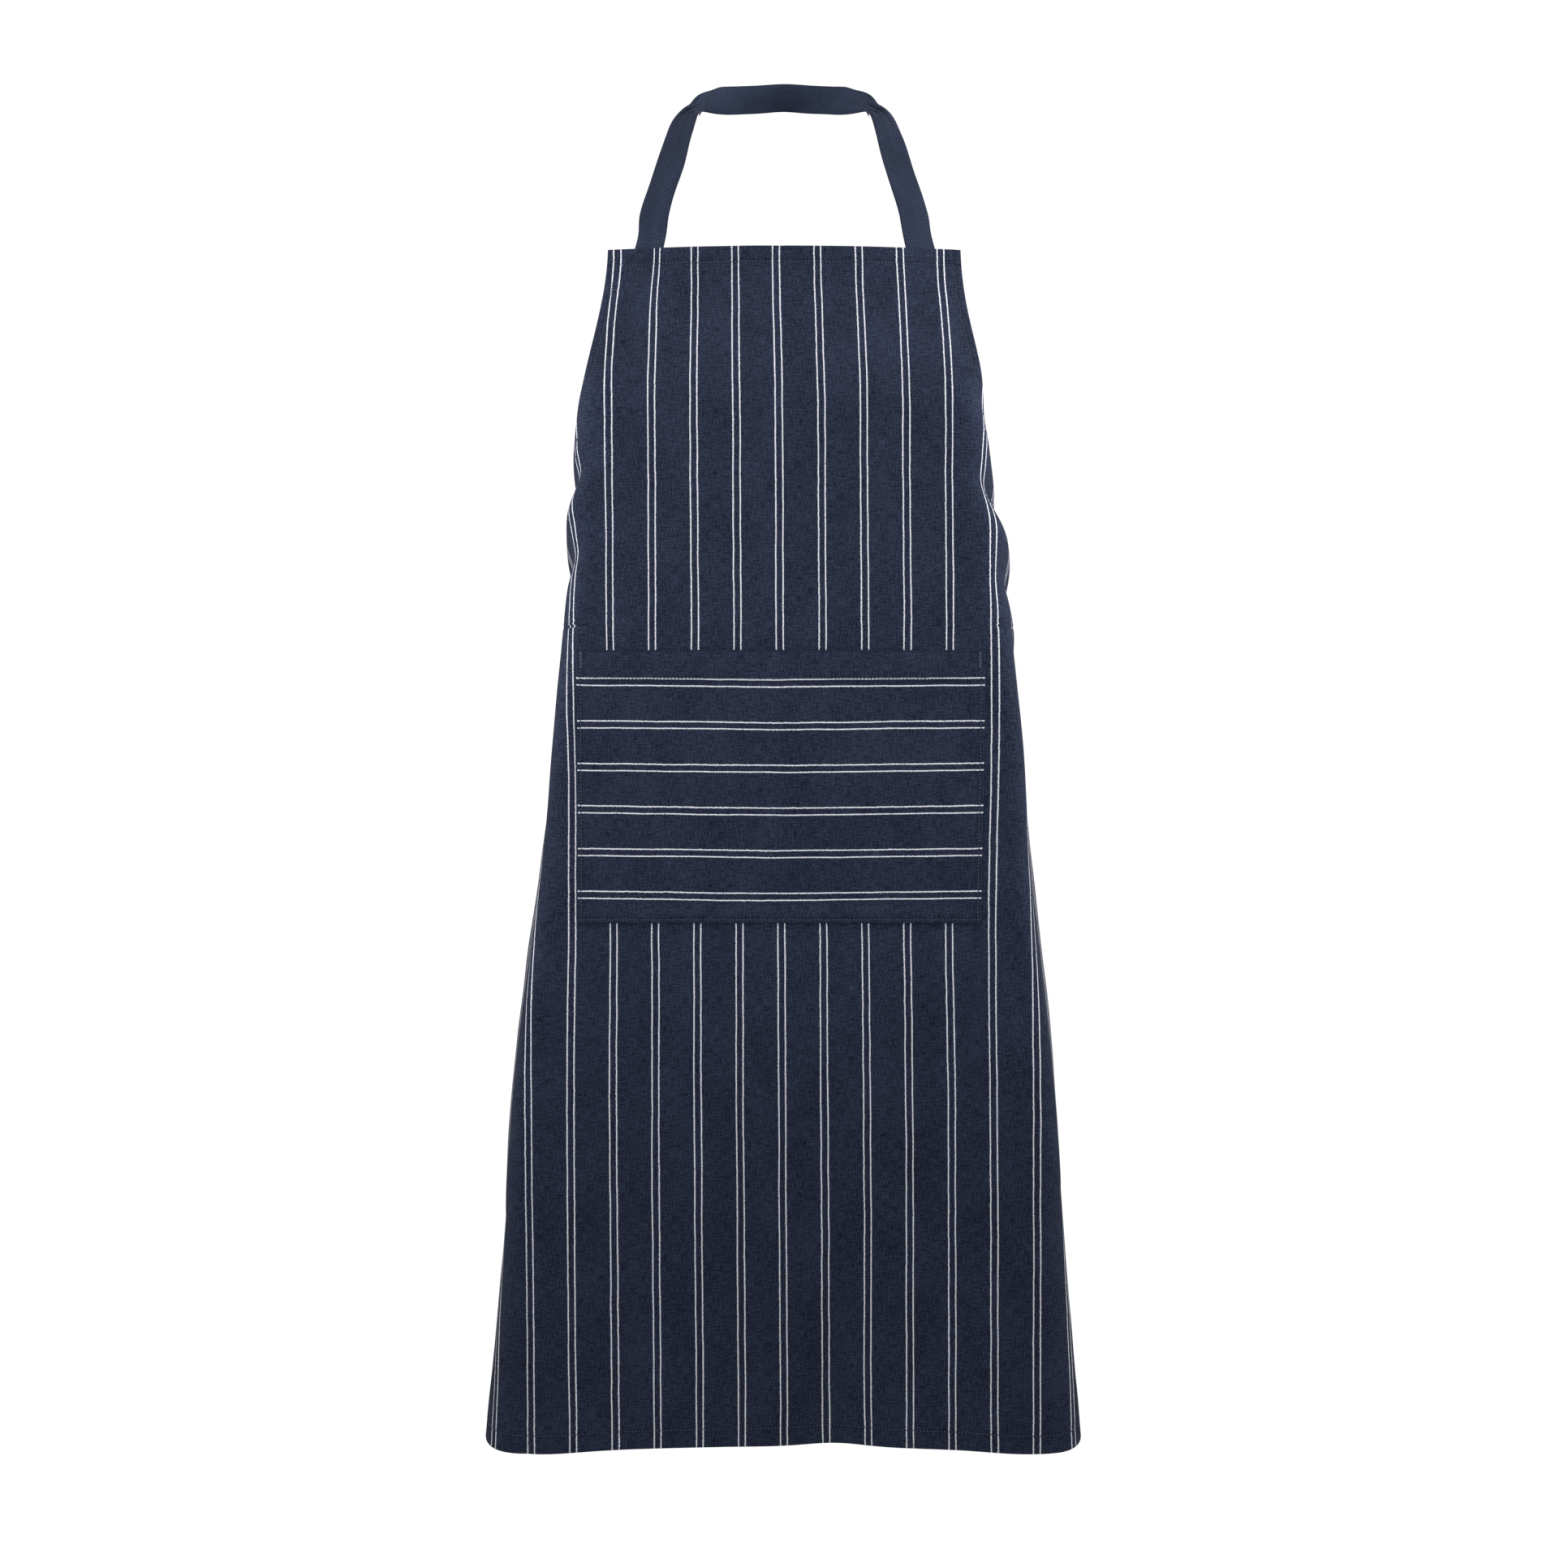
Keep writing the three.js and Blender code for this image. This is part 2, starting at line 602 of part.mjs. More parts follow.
for (const [name, side] of [
  ["left", -1],
  ["right", 1],
]) {
  const strapDrop = STRAP_TACKED * STRAP_TUCKED;
  const strapOut = side * (STRAP_SPACING / 2 + strapDrop * Math.tan(degrees(STRAP_LEAN)));
  addTack(`neck_tack_${name}`, strapOut, strapDrop, strapSlant(side));
  addTack(`tie_tack_${name}`, side * (SKIRT_WIDTH / 2 - TIE_TUCKED / 2), tieDrop, upright);
}

export default apron;
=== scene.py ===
import math

import bpy
import numpy as np
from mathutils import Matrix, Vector, noise


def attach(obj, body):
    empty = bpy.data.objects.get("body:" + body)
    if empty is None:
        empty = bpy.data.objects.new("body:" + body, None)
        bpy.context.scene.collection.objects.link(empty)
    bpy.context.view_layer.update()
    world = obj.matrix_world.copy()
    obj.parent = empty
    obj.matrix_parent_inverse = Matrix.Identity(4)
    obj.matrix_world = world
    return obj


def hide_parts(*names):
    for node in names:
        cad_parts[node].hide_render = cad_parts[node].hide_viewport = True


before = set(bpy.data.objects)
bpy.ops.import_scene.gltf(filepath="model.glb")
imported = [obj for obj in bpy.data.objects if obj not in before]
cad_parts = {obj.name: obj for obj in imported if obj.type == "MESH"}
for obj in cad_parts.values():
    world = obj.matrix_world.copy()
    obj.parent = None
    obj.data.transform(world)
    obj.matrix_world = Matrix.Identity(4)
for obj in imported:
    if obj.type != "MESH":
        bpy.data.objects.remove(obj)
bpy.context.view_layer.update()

# ------------------------------------------------------------------ camera and studio
# The apron hangs as on a wearer 1.45 m tall at the neck. The camera stands square on to its
# front, level with its middle. The studio is white all round but dim: a soft panel in front
# lights the bib and pocket, and one at each side grazes the turned corners and the folds.
FLOOR_BELOW_NECK = 1.45
VIEW_DISTANCE = 2.97
VIEW_HEIGHT = -0.527
SEEN_WIDTH = 1.1592
SEEN_AT = 2.8

camera_data = bpy.data.cameras.new("camera")
camera_data.sensor_width = 36
camera_data.lens = 36 * SEEN_AT / SEEN_WIDTH
camera = bpy.data.objects.new("camera", camera_data)
camera.location = (0, -VIEW_DISTANCE, VIEW_HEIGHT)
camera.rotation_euler = (math.pi / 2, 0, 0)
bpy.context.scene.collection.objects.link(camera)
bpy.context.scene.camera = camera
bpy.context.scene.view_settings.view_transform = "Standard"

sky = bpy.data.worlds.new("studio_sky")
sky.use_nodes = True
SKY_SEEN = 1.05
SKY_LIGHT = 0.09
sky_light = sky.node_tree.nodes["Background"]
sky_light.inputs["Color"].default_value = (1, 1, 1, 1)
sight = sky.node_tree.nodes.new("ShaderNodeLightPath")
sky_strength = sky.node_tree.nodes.new("ShaderNodeMapRange")
sky_strength.inputs["To Min"].default_value = SKY_LIGHT
sky_strength.inputs["To Max"].default_value = SKY_SEEN
sky.node_tree.links.new(sight.outputs["Is Camera Ray"], sky_strength.inputs["Value"])
sky.node_tree.links.new(sky_strength.outputs["Result"], sky_light.inputs["Strength"])
bpy.context.scene.world = sky

FLOOR_REACH = 1.2
floor_mesh = bpy.data.meshes.new("floor")
floor_corners = [
    (x * FLOOR_REACH, y * FLOOR_REACH, -FLOOR_BELOW_NECK) for x, y in ((-1, -1), (1, -1), (1, 1), (-1, 1))
]
floor_mesh.from_pydata(floor_corners, [], [(0, 1, 2, 3)])
floor = bpy.data.objects.new("floor", floor_mesh)
floor_paint = bpy.data.materials.new("white_floor")
floor_paint.use_nodes = True
floor_paint.node_tree.nodes["Principled BSDF"].inputs["Base Color"].default_value = (0.93, 0.93, 0.93, 1)
floor_paint.node_tree.nodes["Principled BSDF"].inputs["Roughness"].default_value = 0.9
floor_mesh.materials.append(floor_paint)
bpy.context.scene.collection.objects.link(floor)


def soft_panel(name, place, target, width, power):
    """A square light panel at a place, facing a target."""
    panel = bpy.data.lights.new(name, "AREA")
    panel.size = width
    panel.energy = power
    lamp = bpy.data.objects.new(name, panel)
    lamp.location = place
    lamp.rotation_euler = (Vector(target) - Vector(place)).to_track_quat("-Z", "Y").to_euler()
    bpy.context.scene.collection.objects.link(lamp)


soft_panel("panel_front", (-0.15, -1.0, -0.35), (0, -0.2, -0.4), 0.7, 6.2)
soft_panel("panel_left", (-1.0, -0.32, 0.1), (0, -0.1, -0.2), 0.6, 17)
soft_panel("panel_right", (1.0, -0.32, 0.1), (0, -0.1, -0.2), 0.6, 22)
soft_panel("panel_behind", (0.4, 1.6, 0.6), (0, 0, -0.4), 1.2, 12)

# ------------------------------------------------------------------ apron panel
# Bib and skirt are one piece of navy cotton, woven with pairs of white yarns down its length.
# Every edge is turned to the inside twice and stitched. Hung from the neck and tied behind the
# waist, the bib leans back, the sides fold round the body, and the waist is dragged into folds.
APRON_LENGTH = 0.893
SKIRT_WIDTH = 0.7
BIB_WIDTH = 0.272
ARMHOLE_DEPTH = 0.285
TOP_HEM = 0.013
SIDE_HEM = 0.007
BOTTOM_HEM = 0.0145
HEM_SEAM_INSET = 0.001
CLOTH = 0.0006
HEM_THICKNESS = 0.0017
NECK_TO_BIB = 0.127
FRONT = -0.195
BIB_LEAN = 0.037
BIB_TURN = 20  # degrees that the top corners turn back
SKIRT_LEAN = 0.026
SKIRT_DISH = 0.016
CORNER_REACH = 0.64
MESH_STEP = 0.0042


def ease(low, high, value):
    """Rises smoothly from 0 at low to 1 at high."""
    share = np.clip((value - low) / (high - low), 0, 1)
    return share * share * (3 - 2 * share)


def bump(value, place, reach):
    """1 at a place, dying away over a reach on both sides."""
    return np.exp(-(((value - place) / reach) ** 2))


# The armhole is one curve: it leaves the bib's corner almost straight down and sweeps outwards
# to meet the side of the skirt.
handle = np.linspace(0, 1, 500)
armhole_out = BIB_WIDTH / 2 + 3 * handle * (1 - handle) ** 2 * 0.004
armhole_out += 3 * handle**2 * (1 - handle) * 0.064 + handle**3 * (SKIRT_WIDTH - BIB_WIDTH) / 2
armhole_down = 3 * handle * (1 - handle) ** 2 * 0.56 + 3 * handle**2 * (1 - handle) * 0.88
armhole_down = ARMHOLE_DEPTH * (armhole_down + handle**3)
armhole_slope = np.gradient(armhole_out, armhole_down)


def hang(out, down):
    """Where points of the flat cloth hang. All of a row lie the same distance down."""
    places = np.empty((*out.shape, 3))
    for row, drop in enumerate(down[:, 0]):
        share = drop / ARMHOLE_DEPTH
        run = (drop - ARMHOLE_DEPTH) / (APRON_LENGTH - ARMHOLE_DEPTH)
        flare = ease(0.4, 1, run)
        corner = 0.024 + 0.018 * (1 - ease(0, 0.25, run)) + 0.036 * flare
        outline = 0.166 + 0.059 * run - 0.0022 * ease(0.7, 0.2, run)
        outline += 0.0032 * ease(-0.27, -0.16, run) * ease(0.3, 0.05, run)
        flat = outline - CORNER_REACH * corner * ease(0.15, 0.5, share)
        side = SKIRT_WIDTH / 2 - flat - corner
        fine = np.linspace(0, SKIRT_WIDTH / 2 + 0.01, 721)
        middle = (fine[1:] + fine[:-1]) / 2
        angle = BIB_TURN * (1 - ease(0, 0.5, share)) / (BIB_WIDTH / 2) * middle
        angle += 90 * ease(0, 1, (middle - flat) / corner)
        angle += (35 - 27 * ease(0, 1, run)) * ease(0, 1, (middle - flat - corner) / side)
        across = np.concatenate([[0], np.cumsum(np.cos(np.radians(angle)))]) * fine[1]
        back = np.concatenate([[0], np.cumsum(np.sin(np.radians(angle)))]) * fine[1]
        reach = np.abs(out[row])
        dish = SKIRT_DISH * flare * (1 + np.cos(np.pi * np.minimum(1, reach / flat))) / 2
        places[row, :, 0] = np.sign(out[row]) * np.interp(reach, fine, across)
        places[row, :, 1] = np.interp(reach, fine, back) + dish
        places[row, :, 1] += FRONT + BIB_LEAN * (1 - ease(0, 0.45, share)) + SKIRT_LEAN * flare
        places[row, :, 2] = -NECK_TO_BIB - drop
    return places


def into_body(places):
    """The direction through the cloth, from its face to its inside, at each point of a grid."""
    through = np.cross(np.gradient(places, axis=1), np.gradient(places, axis=0))
    return through / np.linalg.norm(through, axis=2, keepdims=True)


def fold(out, down, start, end, reach, height):
    """A fold between two places on the flat cloth, highest between them and gone at its ends."""
    run = np.subtract(end, start)
    share = ((out - start[0]) * run[0] + (down - start[1]) * run[1]) / (run @ run)
    share = np.clip(share, 0, 1)
    away = np.hypot(out - start[0] - share * run[0], down - start[1] - share * run[1])
    return height * bump(away, 0, reach) * np.sin(np.pi * share) ** 0.7


# Each fold: where it starts and ends on the flat cloth, how wide it is and how far it stands out
DRAG_FOLDS = (
    ((0.125, 0.110), (0.215, 0.205), 0.011, 0.0035),
    ((0.130, 0.160), (0.235, 0.245), 0.010, -0.006),
    ((0.138, 0.200), (0.270, 0.278), 0.013, 0.005),
    ((0.150, 0.242), (0.300, 0.304), 0.011, -0.005),
    ((0.156, 0.262), (0.176, 0.430), 0.009, 0.003),
    ((0.172, 0.245), (0.260, 0.335), 0.015, 0.004),
    ((-0.122, 0.090), (-0.200, 0.180), 0.011, 0.0035),
    ((-0.130, 0.145), (-0.215, 0.225), 0.009, -0.005),
    ((-0.136, 0.178), (-0.245, 0.262), 0.011, 0.0045),
    ((-0.140, 0.222), (-0.280, 0.292), 0.010, -0.0045),
    ((-0.150, 0.252), (-0.168, 0.410), 0.009, 0.0025),
    ((-0.188, 0.560), (-0.190, 0.960), 0.005, -0.003),
    ((0.240, 0.330), (0.225, 0.700), 0.022, 0.006),
    ((-0.250, 0.330), (-0.230, 0.720), 0.024, 0.006),
    ((0.300, 0.330), (0.290, 0.620), 0.018, -0.005),
    ((-0.305, 0.330), (-0.300, 0.600), 0.018, -0.005),
    ((0.030, 0.780), (0.036, 1.000), 0.026, -0.006),
    ((-0.100, 0.012), (-0.060, 0.110), 0.012, 0.0022),
    ((-0.062, 0.020), (-0.085, 0.120), 0.011, -0.0018),
    ((-0.120, 0.035), (-0.088, 0.150), 0.013, -0.0018),
    ((0.095, 0.014), (0.062, 0.105), 0.012, 0.0018),
    ((0.060, 0.018), (0.090, 0.120), 0.011, -0.0018),
    ((0.020, 0.012), (-0.010, 0.090), 0.013, -0.0015),
    ((0.118, 0.030), (0.122, 0.150), 0.010, 0.0022),
    ((-0.126, 0.030), (-0.130, 0.130), 0.009, 0.0018),
)
PRESSED_CREASE = 0.0007  # down the middle, from the folded apron


def rumple(out, down):
    """How far the cloth stands out from its smooth drape."""
    height = sum(fold(out, down, *shape) for shape in DRAG_FOLDS)
    height = height - PRESSED_CREASE * bump(out, 0, 0.0022)
    lively = 0.0006 + 0.0008 * bump(down, 0, 0.09) + 0.0012 * ease(0.14, 0.3, np.abs(out))
    soft = np.array(
        [
            noise.noise(Vector((x * 14, z * 9, 1.7))) + 0.5 * noise.noise(Vector((x * 34, z * 22, 5.1)))
            for x, z in zip(out.ravel(), down.ravel())
        ]
    )
    return height + lively * soft.reshape(out.shape)


def drape(out, down):
    """The hanging cloth with its folds. Its middle is drawn in a little at the bib's edge and at
    the thighs, the waist swings to the right, and the front corners lift off the line of the hem."""
    places = hang(out, down)
    aside = np.abs(out)
    middle = np.clip(1 - (out / 0.15) ** 2, 0, 1)
    drawn_in = (0.0015 + 0.02 * out) * middle * ease(0.12, 0, down)
    drawn_in = drawn_in - 0.0035 * bump(out, -0.112, 0.02) * ease(0.06, 0, down)
    drawn_in = drawn_in + 0.014 * out * ease(0.2, 0.15, aside) * bump(down, 0.5, 0.12)
    swing = 0.0026 * ease(0.15, 0.24, down) * ease(0.6, 0.35, down) - 0.0026 * bump(down, 0.155, 0.04)
    places[..., 0] += swing * ease(0.12, 0.17, aside) - drawn_in
    hem_lift = 0.011 * ease(0.205, 0.27, aside) - 0.003 * bump(aside, 0.18, 0.04)
    hem_lift = hem_lift + 0.002 * bump(out, 0.04, 0.03)
    places[..., 2] += hem_lift * ease(0.45, APRON_LENGTH, down) ** 2
    return places - into_body(places) * rumple(out, down)[..., None]


def steps_to(start, end, step):
    """Even steps from start up to but not including end."""
    return np.linspace(start, end, max(2, int(abs(end - start) / step)), endpoint=False)


def hem_steps(width):
    """Distances in from a turned edge, fine round the fold and at the row of stitches."""
    seam = width - HEM_SEAM_INSET
    rolled = np.array([0, 0.0001, 0.0003, 0.0006, 0.001])
    inner = np.array([seam - 0.0008, seam, seam + 0.0007, width, width + 0.0005, width + 0.002])
    return np.concatenate([rolled, steps_to(0.0018, seam - 0.0012, 0.0035), inner])


SEAM_SUNK = 0.0003  # how far the stitches pull the cloth in
SEAM_REACH = 0.0007  # and how far to each side


def turned_edge(edge, width, thickness=HEM_THICKNESS, single=CLOTH):
    """The thickness near a turned edge, how far each face draws in at the fold, and 1 at the seam."""
    thick = single + (thickness - single) * ease(width + 0.0006, width, edge)
    rolled = np.clip(1 - edge / 0.001, 0, 1)
    drawn = 0.48 * thick * (1 - np.sqrt(1 - rolled**2))
    return thick, drawn, bump(edge, width - HEM_SEAM_INSET, SEAM_REACH)


top_steps = hem_steps(TOP_HEM)
bottom_steps = hem_steps(BOTTOM_HEM)
side_steps = hem_steps(SIDE_HEM)
drops = np.concatenate(
    [
        top_steps,
        steps_to(TOP_HEM + 0.004, APRON_LENGTH - BOTTOM_HEM - 0.003, MESH_STEP),
        APRON_LENGTH - bottom_steps[::-1],
    ]
)
half_width = np.where(drops < ARMHOLE_DEPTH, np.interp(drops, armhole_down, armhole_out), SKIRT_WIDTH / 2)
slant = np.where(drops < ARMHOLE_DEPTH, np.interp(drops, armhole_down, armhole_slope), 0)
slant = np.hypot(1, slant * ease(ARMHOLE_DEPTH, ARMHOLE_DEPTH - 0.004, drops))
INNER_COLUMNS = 160
panel_out = []
panel_edge = []
for half, lean in zip(half_width, slant):
    hem = half - side_steps * lean
    inner = np.linspace(-hem[-1], hem[-1], INNER_COLUMNS)[1:-1]
    panel_out.append(np.concatenate([-hem, inner, hem[::-1]]))
    panel_edge.append((half - np.abs(panel_out[-1])) / lean)
panel_out = np.array(panel_out)
panel_edge = np.array(panel_edge)
panel_down = np.repeat(drops[:, None], panel_out.shape[1], axis=1)

draped = drape(panel_out, panel_down)
inside = into_body(draped)
edges = [
    turned_edge(panel_edge, SIDE_HEM),
    turned_edge(panel_down, TOP_HEM),
    turned_edge(APRON_LENGTH - panel_down, BOTTOM_HEM),
]
panel_thick = np.max([edge[0] for edge in edges], axis=0)
# 1 along each row of stitches: the cloth is pulled in there, and the navy is darkened there as painted
#                               shade of the groove.
panel_seam_sink_and_shade = np.max([edge[2] for edge in edges], axis=0)
panel_drawn = np.max([edge[1] for edge in edges], axis=0) + SEAM_SUNK * panel_seam_sink_and_shade
panel_face = draped + inside * panel_drawn[..., None]
panel_inside = draped + inside * (panel_thick - panel_drawn)[..., None]

FLAT_MAP = "OFBake"
MAP_EDGE = 0.01  # strip of the map kept for the cloth's cut edge
# Name of the point mark that darkens the navy along the seams as painted shade.
PAINTED_SHADE_MARK = "seam"


def sew(name, face, inner, out, down, size, seam=None):
    """One closed cloth from its two faces, with its flat places as its map. The face takes the
    left half of the map, the inside the right half, and the edges the strips between."""
    rows, columns = out.shape
    index = np.arange(rows * columns).reshape(rows, columns)
    behind = index + rows * columns
    across = MAP_EDGE + (0.5 - 2 * MAP_EDGE) * np.clip(out / size[0] + 0.5, 0, 1)
    height = MAP_EDGE + (1 - 2 * MAP_EDGE) * (1 - np.clip(down / size[1], 0, 1))
    front_map = np.stack([across, height], axis=2)
    back_map = np.stack([1 - across, height], axis=2)

    def corners(grid):
        return grid[:-1, :-1], grid[1:, :-1], grid[1:, 1:], grid[:-1, 1:]

    def strip(near, far, near_map, far_map):
        """Quads between two lines of points."""
        quads = np.stack([near[:-1], far[:-1], far[1:], near[1:]], axis=1)
        maps = np.stack([near_map[:-1], far_map[:-1], far_map[1:], near_map[1:]], axis=1)
        return quads, maps

    quads = [np.stack(corners(index), axis=2).reshape(-1, 4)]
    maps = [np.stack(corners(front_map), axis=2).reshape(-1, 4, 2)]
    quads.append(np.stack(corners(behind), axis=2).reshape(-1, 4)[:, ::-1])
    maps.append(np.stack(corners(back_map), axis=2).reshape(-1, 4, 2)[:, ::-1])
    aside = np.array([MAP_EDGE, 0])
    above = np.array([0, MAP_EDGE])
    for near, far, near_map, far_map in (
        (index[:, 0], behind[:, 0], front_map[:, 0], front_map[:, 0] - aside),
        (behind[:, -1], index[:, -1], back_map[:, -1], front_map[:, -1]),
        (behind[0], index[0], front_map[0] + above, front_map[0]),
        (index[-1], behind[-1], front_map[-1], front_map[-1] - above),
    ):
        strip_quads, strip_maps = strip(near, far, near_map, far_map)
        quads.append(strip_quads)
        maps.append(strip_maps)
    mesh = bpy.data.meshes.new(name)
    points = np.concatenate([face.reshape(-1, 3), inner.reshape(-1, 3)])
    mesh.from_pydata(points.tolist(), [], np.concatenate(quads).tolist())
    flat_map = mesh.uv_layers.new(name=FLAT_MAP)
    flat_map.uv.foreach_set("vector", np.concatenate(maps).astype(np.float32).ravel())
    # The seam marks carry the painted shade of the stitch grooves, and of the pocket's mouth, to the
    # material.
    if seam is not None:
        marks = mesh.attributes.new(PAINTED_SHADE_MARK, "FLOAT", "POINT")
        marks.data.foreach_set("value", np.tile(seam.ravel(), 2).astype(np.float32))
    mesh.shade_smooth()
    piece = bpy.data.objects.new(name, mesh)
    bpy.context.scene.collection.objects.link(piece)
    return piece


class Signal:
    """A socket of a material's nodes. Arithmetic on it adds Math nodes."""

    def __init__(self, tree, socket=None):
        self.tree = tree
        self.socket = socket

    def add(self, kind, settings, sockets, output=0):
        """Adds a node: its type, its settings, and the values or links of its sockets."""
        node = self.tree.nodes.new(kind)
        for name, value in settings.items():
            setattr(node, name, value)
        for name, value in sockets.items():
            if isinstance(value, Signal):
                self.tree.links.new(value.socket, node.inputs[name])
            else:
                node.inputs[name].default_value = value
        return Signal(self.tree, node.outputs[output])

    def output(self, number):
        return Signal(self.tree, self.socket.node.outputs[number])

    def math(self, operation, *others):
        """A Math node with the signal as its first value."""
        return self.add("ShaderNodeMath", {"operation": operation}, dict(enumerate((self, *others))))

    def __add__(self, other):
        return self.math("ADD", other)

    def __sub__(self, other):
        return self.math("SUBTRACT", other)

    def __mul__(self, other):
        return self.math("MULTIPLY", other)

    def __truediv__(self, other):
        return self.math("DIVIDE", other)

    def __rsub__(self, other):
        return self.add("ShaderNodeMath", {"operation": "SUBTRACT"}, {0: other, 1: self})

    __radd__ = __add__
    __rmul__ = __mul__

    def wave(self, length):
        """A sine that repeats after a length."""
        return (self * (2 * math.pi / length)).math("SINE")

    def clamped(self):
        return self.add("ShaderNodeClamp", {}, {"Value": self})

    def near(self, width, blur):
        """1 where the signal is under a width, fading to 0 over a blur."""
        return ((width - self) / blur + 0.5).clamped()


def noise_of(out, down, scale_out, scale_down, detail=2.0):
    """Cloudy values with a scale of their own along each direction of the cloth."""
    place = out.add("ShaderNodeCombineXYZ", {}, {0: out * scale_out, 1: down * scale_down})
    sockets = {"Vector": place, "Scale": 1.0, "Detail": detail, "Roughness": 0.55}
    return out.add("ShaderNodeTexNoise", {"noise_dimensions": "2D"}, sockets) - 0.5


def blend_colours(share, first, second):
    return share.add("ShaderNodeMix", {"data_type": "RGBA"}, {0: share, 6: first, 7: second}, 2)


def new_finish(name, size):
    """An empty material, and the flat place of each point of a cloth of that size."""
    finish = bpy.data.materials.new(name)
    finish.use_nodes = True
    start = Signal(finish.node_tree)
    flat = start.add("ShaderNodeUVMap", {"uv_map": FLAT_MAP}, {})
    across = start.add("ShaderNodeSeparateXYZ", {}, {0: flat})
    height = across.output(1)
    folded = (across - 0.5).math("ABSOLUTE")
    out = size[0] * (0.5 - (folded - MAP_EDGE) / (0.5 - 2 * MAP_EDGE))
    down = size[1] * ((1 - MAP_EDGE) - height) / (1 - 2 * MAP_EDGE)
    return finish, out, down


def woven_surface(finish, colour, height, roughness, sheen, specular):
    """Sends a colour and a height in metres to the material's own shader."""
    shader = finish.node_tree.nodes["Principled BSDF"]
    relief = height.add("ShaderNodeBump", {}, {"Height": height, "Strength": 1.0, "Distance": 1.0})
    finish.node_tree.links.new(colour.socket, shader.inputs["Base Color"])
    finish.node_tree.links.new(relief.socket, shader.inputs["Normal"])
    shader.inputs["Roughness"].default_value = roughness
    shader.inputs["Specular IOR Level"].default_value = specular
    shader.inputs["Sheen Weight"].default_value = sheen
    shader.inputs["Sheen Roughness"].default_value = 0.45


STRIPE_PITCH = 0.0312
PAIR_GAP = 0.0051
STRIPE_WIDTH = 0.00085
WEAVE_PITCH = 0.0011
WEAVE_SKEW = 0.0045  # how far the stripes stray to the left at the top edge
NAVY_DARK = (0.0036, 0.0056, 0.0150, 1)
NAVY_LIGHT = (0.0325, 0.0415, 0.0750, 1)
# Painted shade: the dark navy laid along the stitched seams for the shadow in their grooves.
SEAM_GROOVE_PAINTED_SHADE = (0.0035, 0.0045, 0.0110, 1)
WHITE_YARN = (0.68, 0.68, 0.74, 1)


def striped_cotton(finish, out, down, across, along):
    """Fills a finish with navy cotton whose pairs of white yarns repeat across a signal."""
    wander = noise_of(across, along, 30, 9, 1.0) * 0.0011 + noise_of(across, along, 60, 55, 0.0) * 0.0004
    place = (across + wander) / STRIPE_PITCH + 0.5
    from_pair = ((place.math("FRACT") - 0.5) * STRIPE_PITCH).math("ABSOLUTE")
    off_line = (from_pair - PAIR_GAP / 2).math("ABSOLUTE")
    ragged = noise_of(across, along, 900, 1300, 0.0) * 0.0007
    white = (off_line + ragged).near(STRIPE_WIDTH / 2, 0.0003)
    warp = noise_of(out, down, 1400, 130)
    weft = noise_of(out, down, 130, 1400)
    slub = noise_of(out, down, 1000, 860, 2.0)
    cloud = noise_of(out, down, 34, 20, 2.0)
    tone = (0.42 + warp * 1.1 + weft * 1.1 + slub * 1.5 + cloud * 0.35).clamped()
    # Along the seams the navy, not the white yarn, is darkened towards a painted shade, for the shadow in
    # the stitch groove and at the pocket's mouth.
    seam = out.add("ShaderNodeAttribute", {"attribute_name": PAINTED_SHADE_MARK}, {}, 2)
    navy = blend_colours(seam * 0.75, blend_colours(tone, NAVY_DARK, NAVY_LIGHT), SEAM_GROOVE_PAINTED_SHADE)
    colour = blend_colours(white * (0.95 + slub * 0.5), navy, WHITE_YARN)
    weave = out.wave(WEAVE_PITCH) * down.wave(WEAVE_PITCH)
    height = weave * 0.00005 + (warp + weft + slub) * 0.00016 + white * 0.0001
    woven_surface(finish, colour, height, 0.9, 0.03, 0.08)
    return finish


panel_size = (SKIRT_WIDTH, APRON_LENGTH)
panel = sew("apron_cloth", panel_face, panel_inside, panel_out, panel_down, panel_size, panel_seam_sink_and_shade)
cotton, cotton_out, cotton_down = new_finish("striped_cotton", panel_size)
askew = cotton_out + WEAVE_SKEW * (1 - cotton_down / APRON_LENGTH)
panel.data.materials.append(striped_cotton(cotton, cotton_out, cotton_down, askew, cotton_down))
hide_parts("apron_panel")
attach(panel, "apron")

# ------------------------------------------------------------------ patch pocket
# A wide patch of the same cotton with its stripes level, turned under and sewn to the skirt along
# its sides and foot. The mouth has a deep hem, and stands a little open.
POCKET_WIDTH = 0.3
POCKET_HEIGHT = 0.2
POCKET_DROP = 0.302
POCKET_SHIFT = -0.004
POCKET_OPEN = 0.008
POCKET_SEAM_INSET = 0.0025
POCKET_MOUTH_HEM = 0.022
POCKET_SIDE_HEM = 0.01
POCKET_SIDE_THICKNESS = 0.0014
POCKET_OFF_PANEL = 0.0002
POCKET_CREASE = 0.002
FIRST_STRIPE = 0.0229  # mouth to the middle of the first pair
STRIPE_DIP = 0.0018  # the stripes sink towards the crease

pocket_steps = np.array([0, 0.0001, 0.0003, 0.0006, 0.001, 0.0017, 0.0025, 0.0033, 0.006, 0.0095, 0.0103])
mouth_steps = np.array([0, 0.0001, 0.0003, 0.0006, 0.001, 0.003, 0.006, 0.0095, 0.013, 0.0165, 0.02])
mouth_steps = np.concatenate([mouth_steps, [0.021, 0.0217, 0.0224]])
pocket_drops = np.concatenate(
    [mouth_steps, steps_to(0.025, POCKET_HEIGHT - 0.012, 0.0035), POCKET_HEIGHT - pocket_steps[::-1]]
)
pocket_middle = np.linspace(-POCKET_WIDTH / 2 + 0.013, POCKET_WIDTH / 2 - 0.013, 84)
pocket_outs = [pocket_steps - POCKET_WIDTH / 2, pocket_middle, POCKET_WIDTH / 2 - pocket_steps[::-1]]
pocket_out, pocket_down = np.meshgrid(np.concatenate(pocket_outs), pocket_drops)

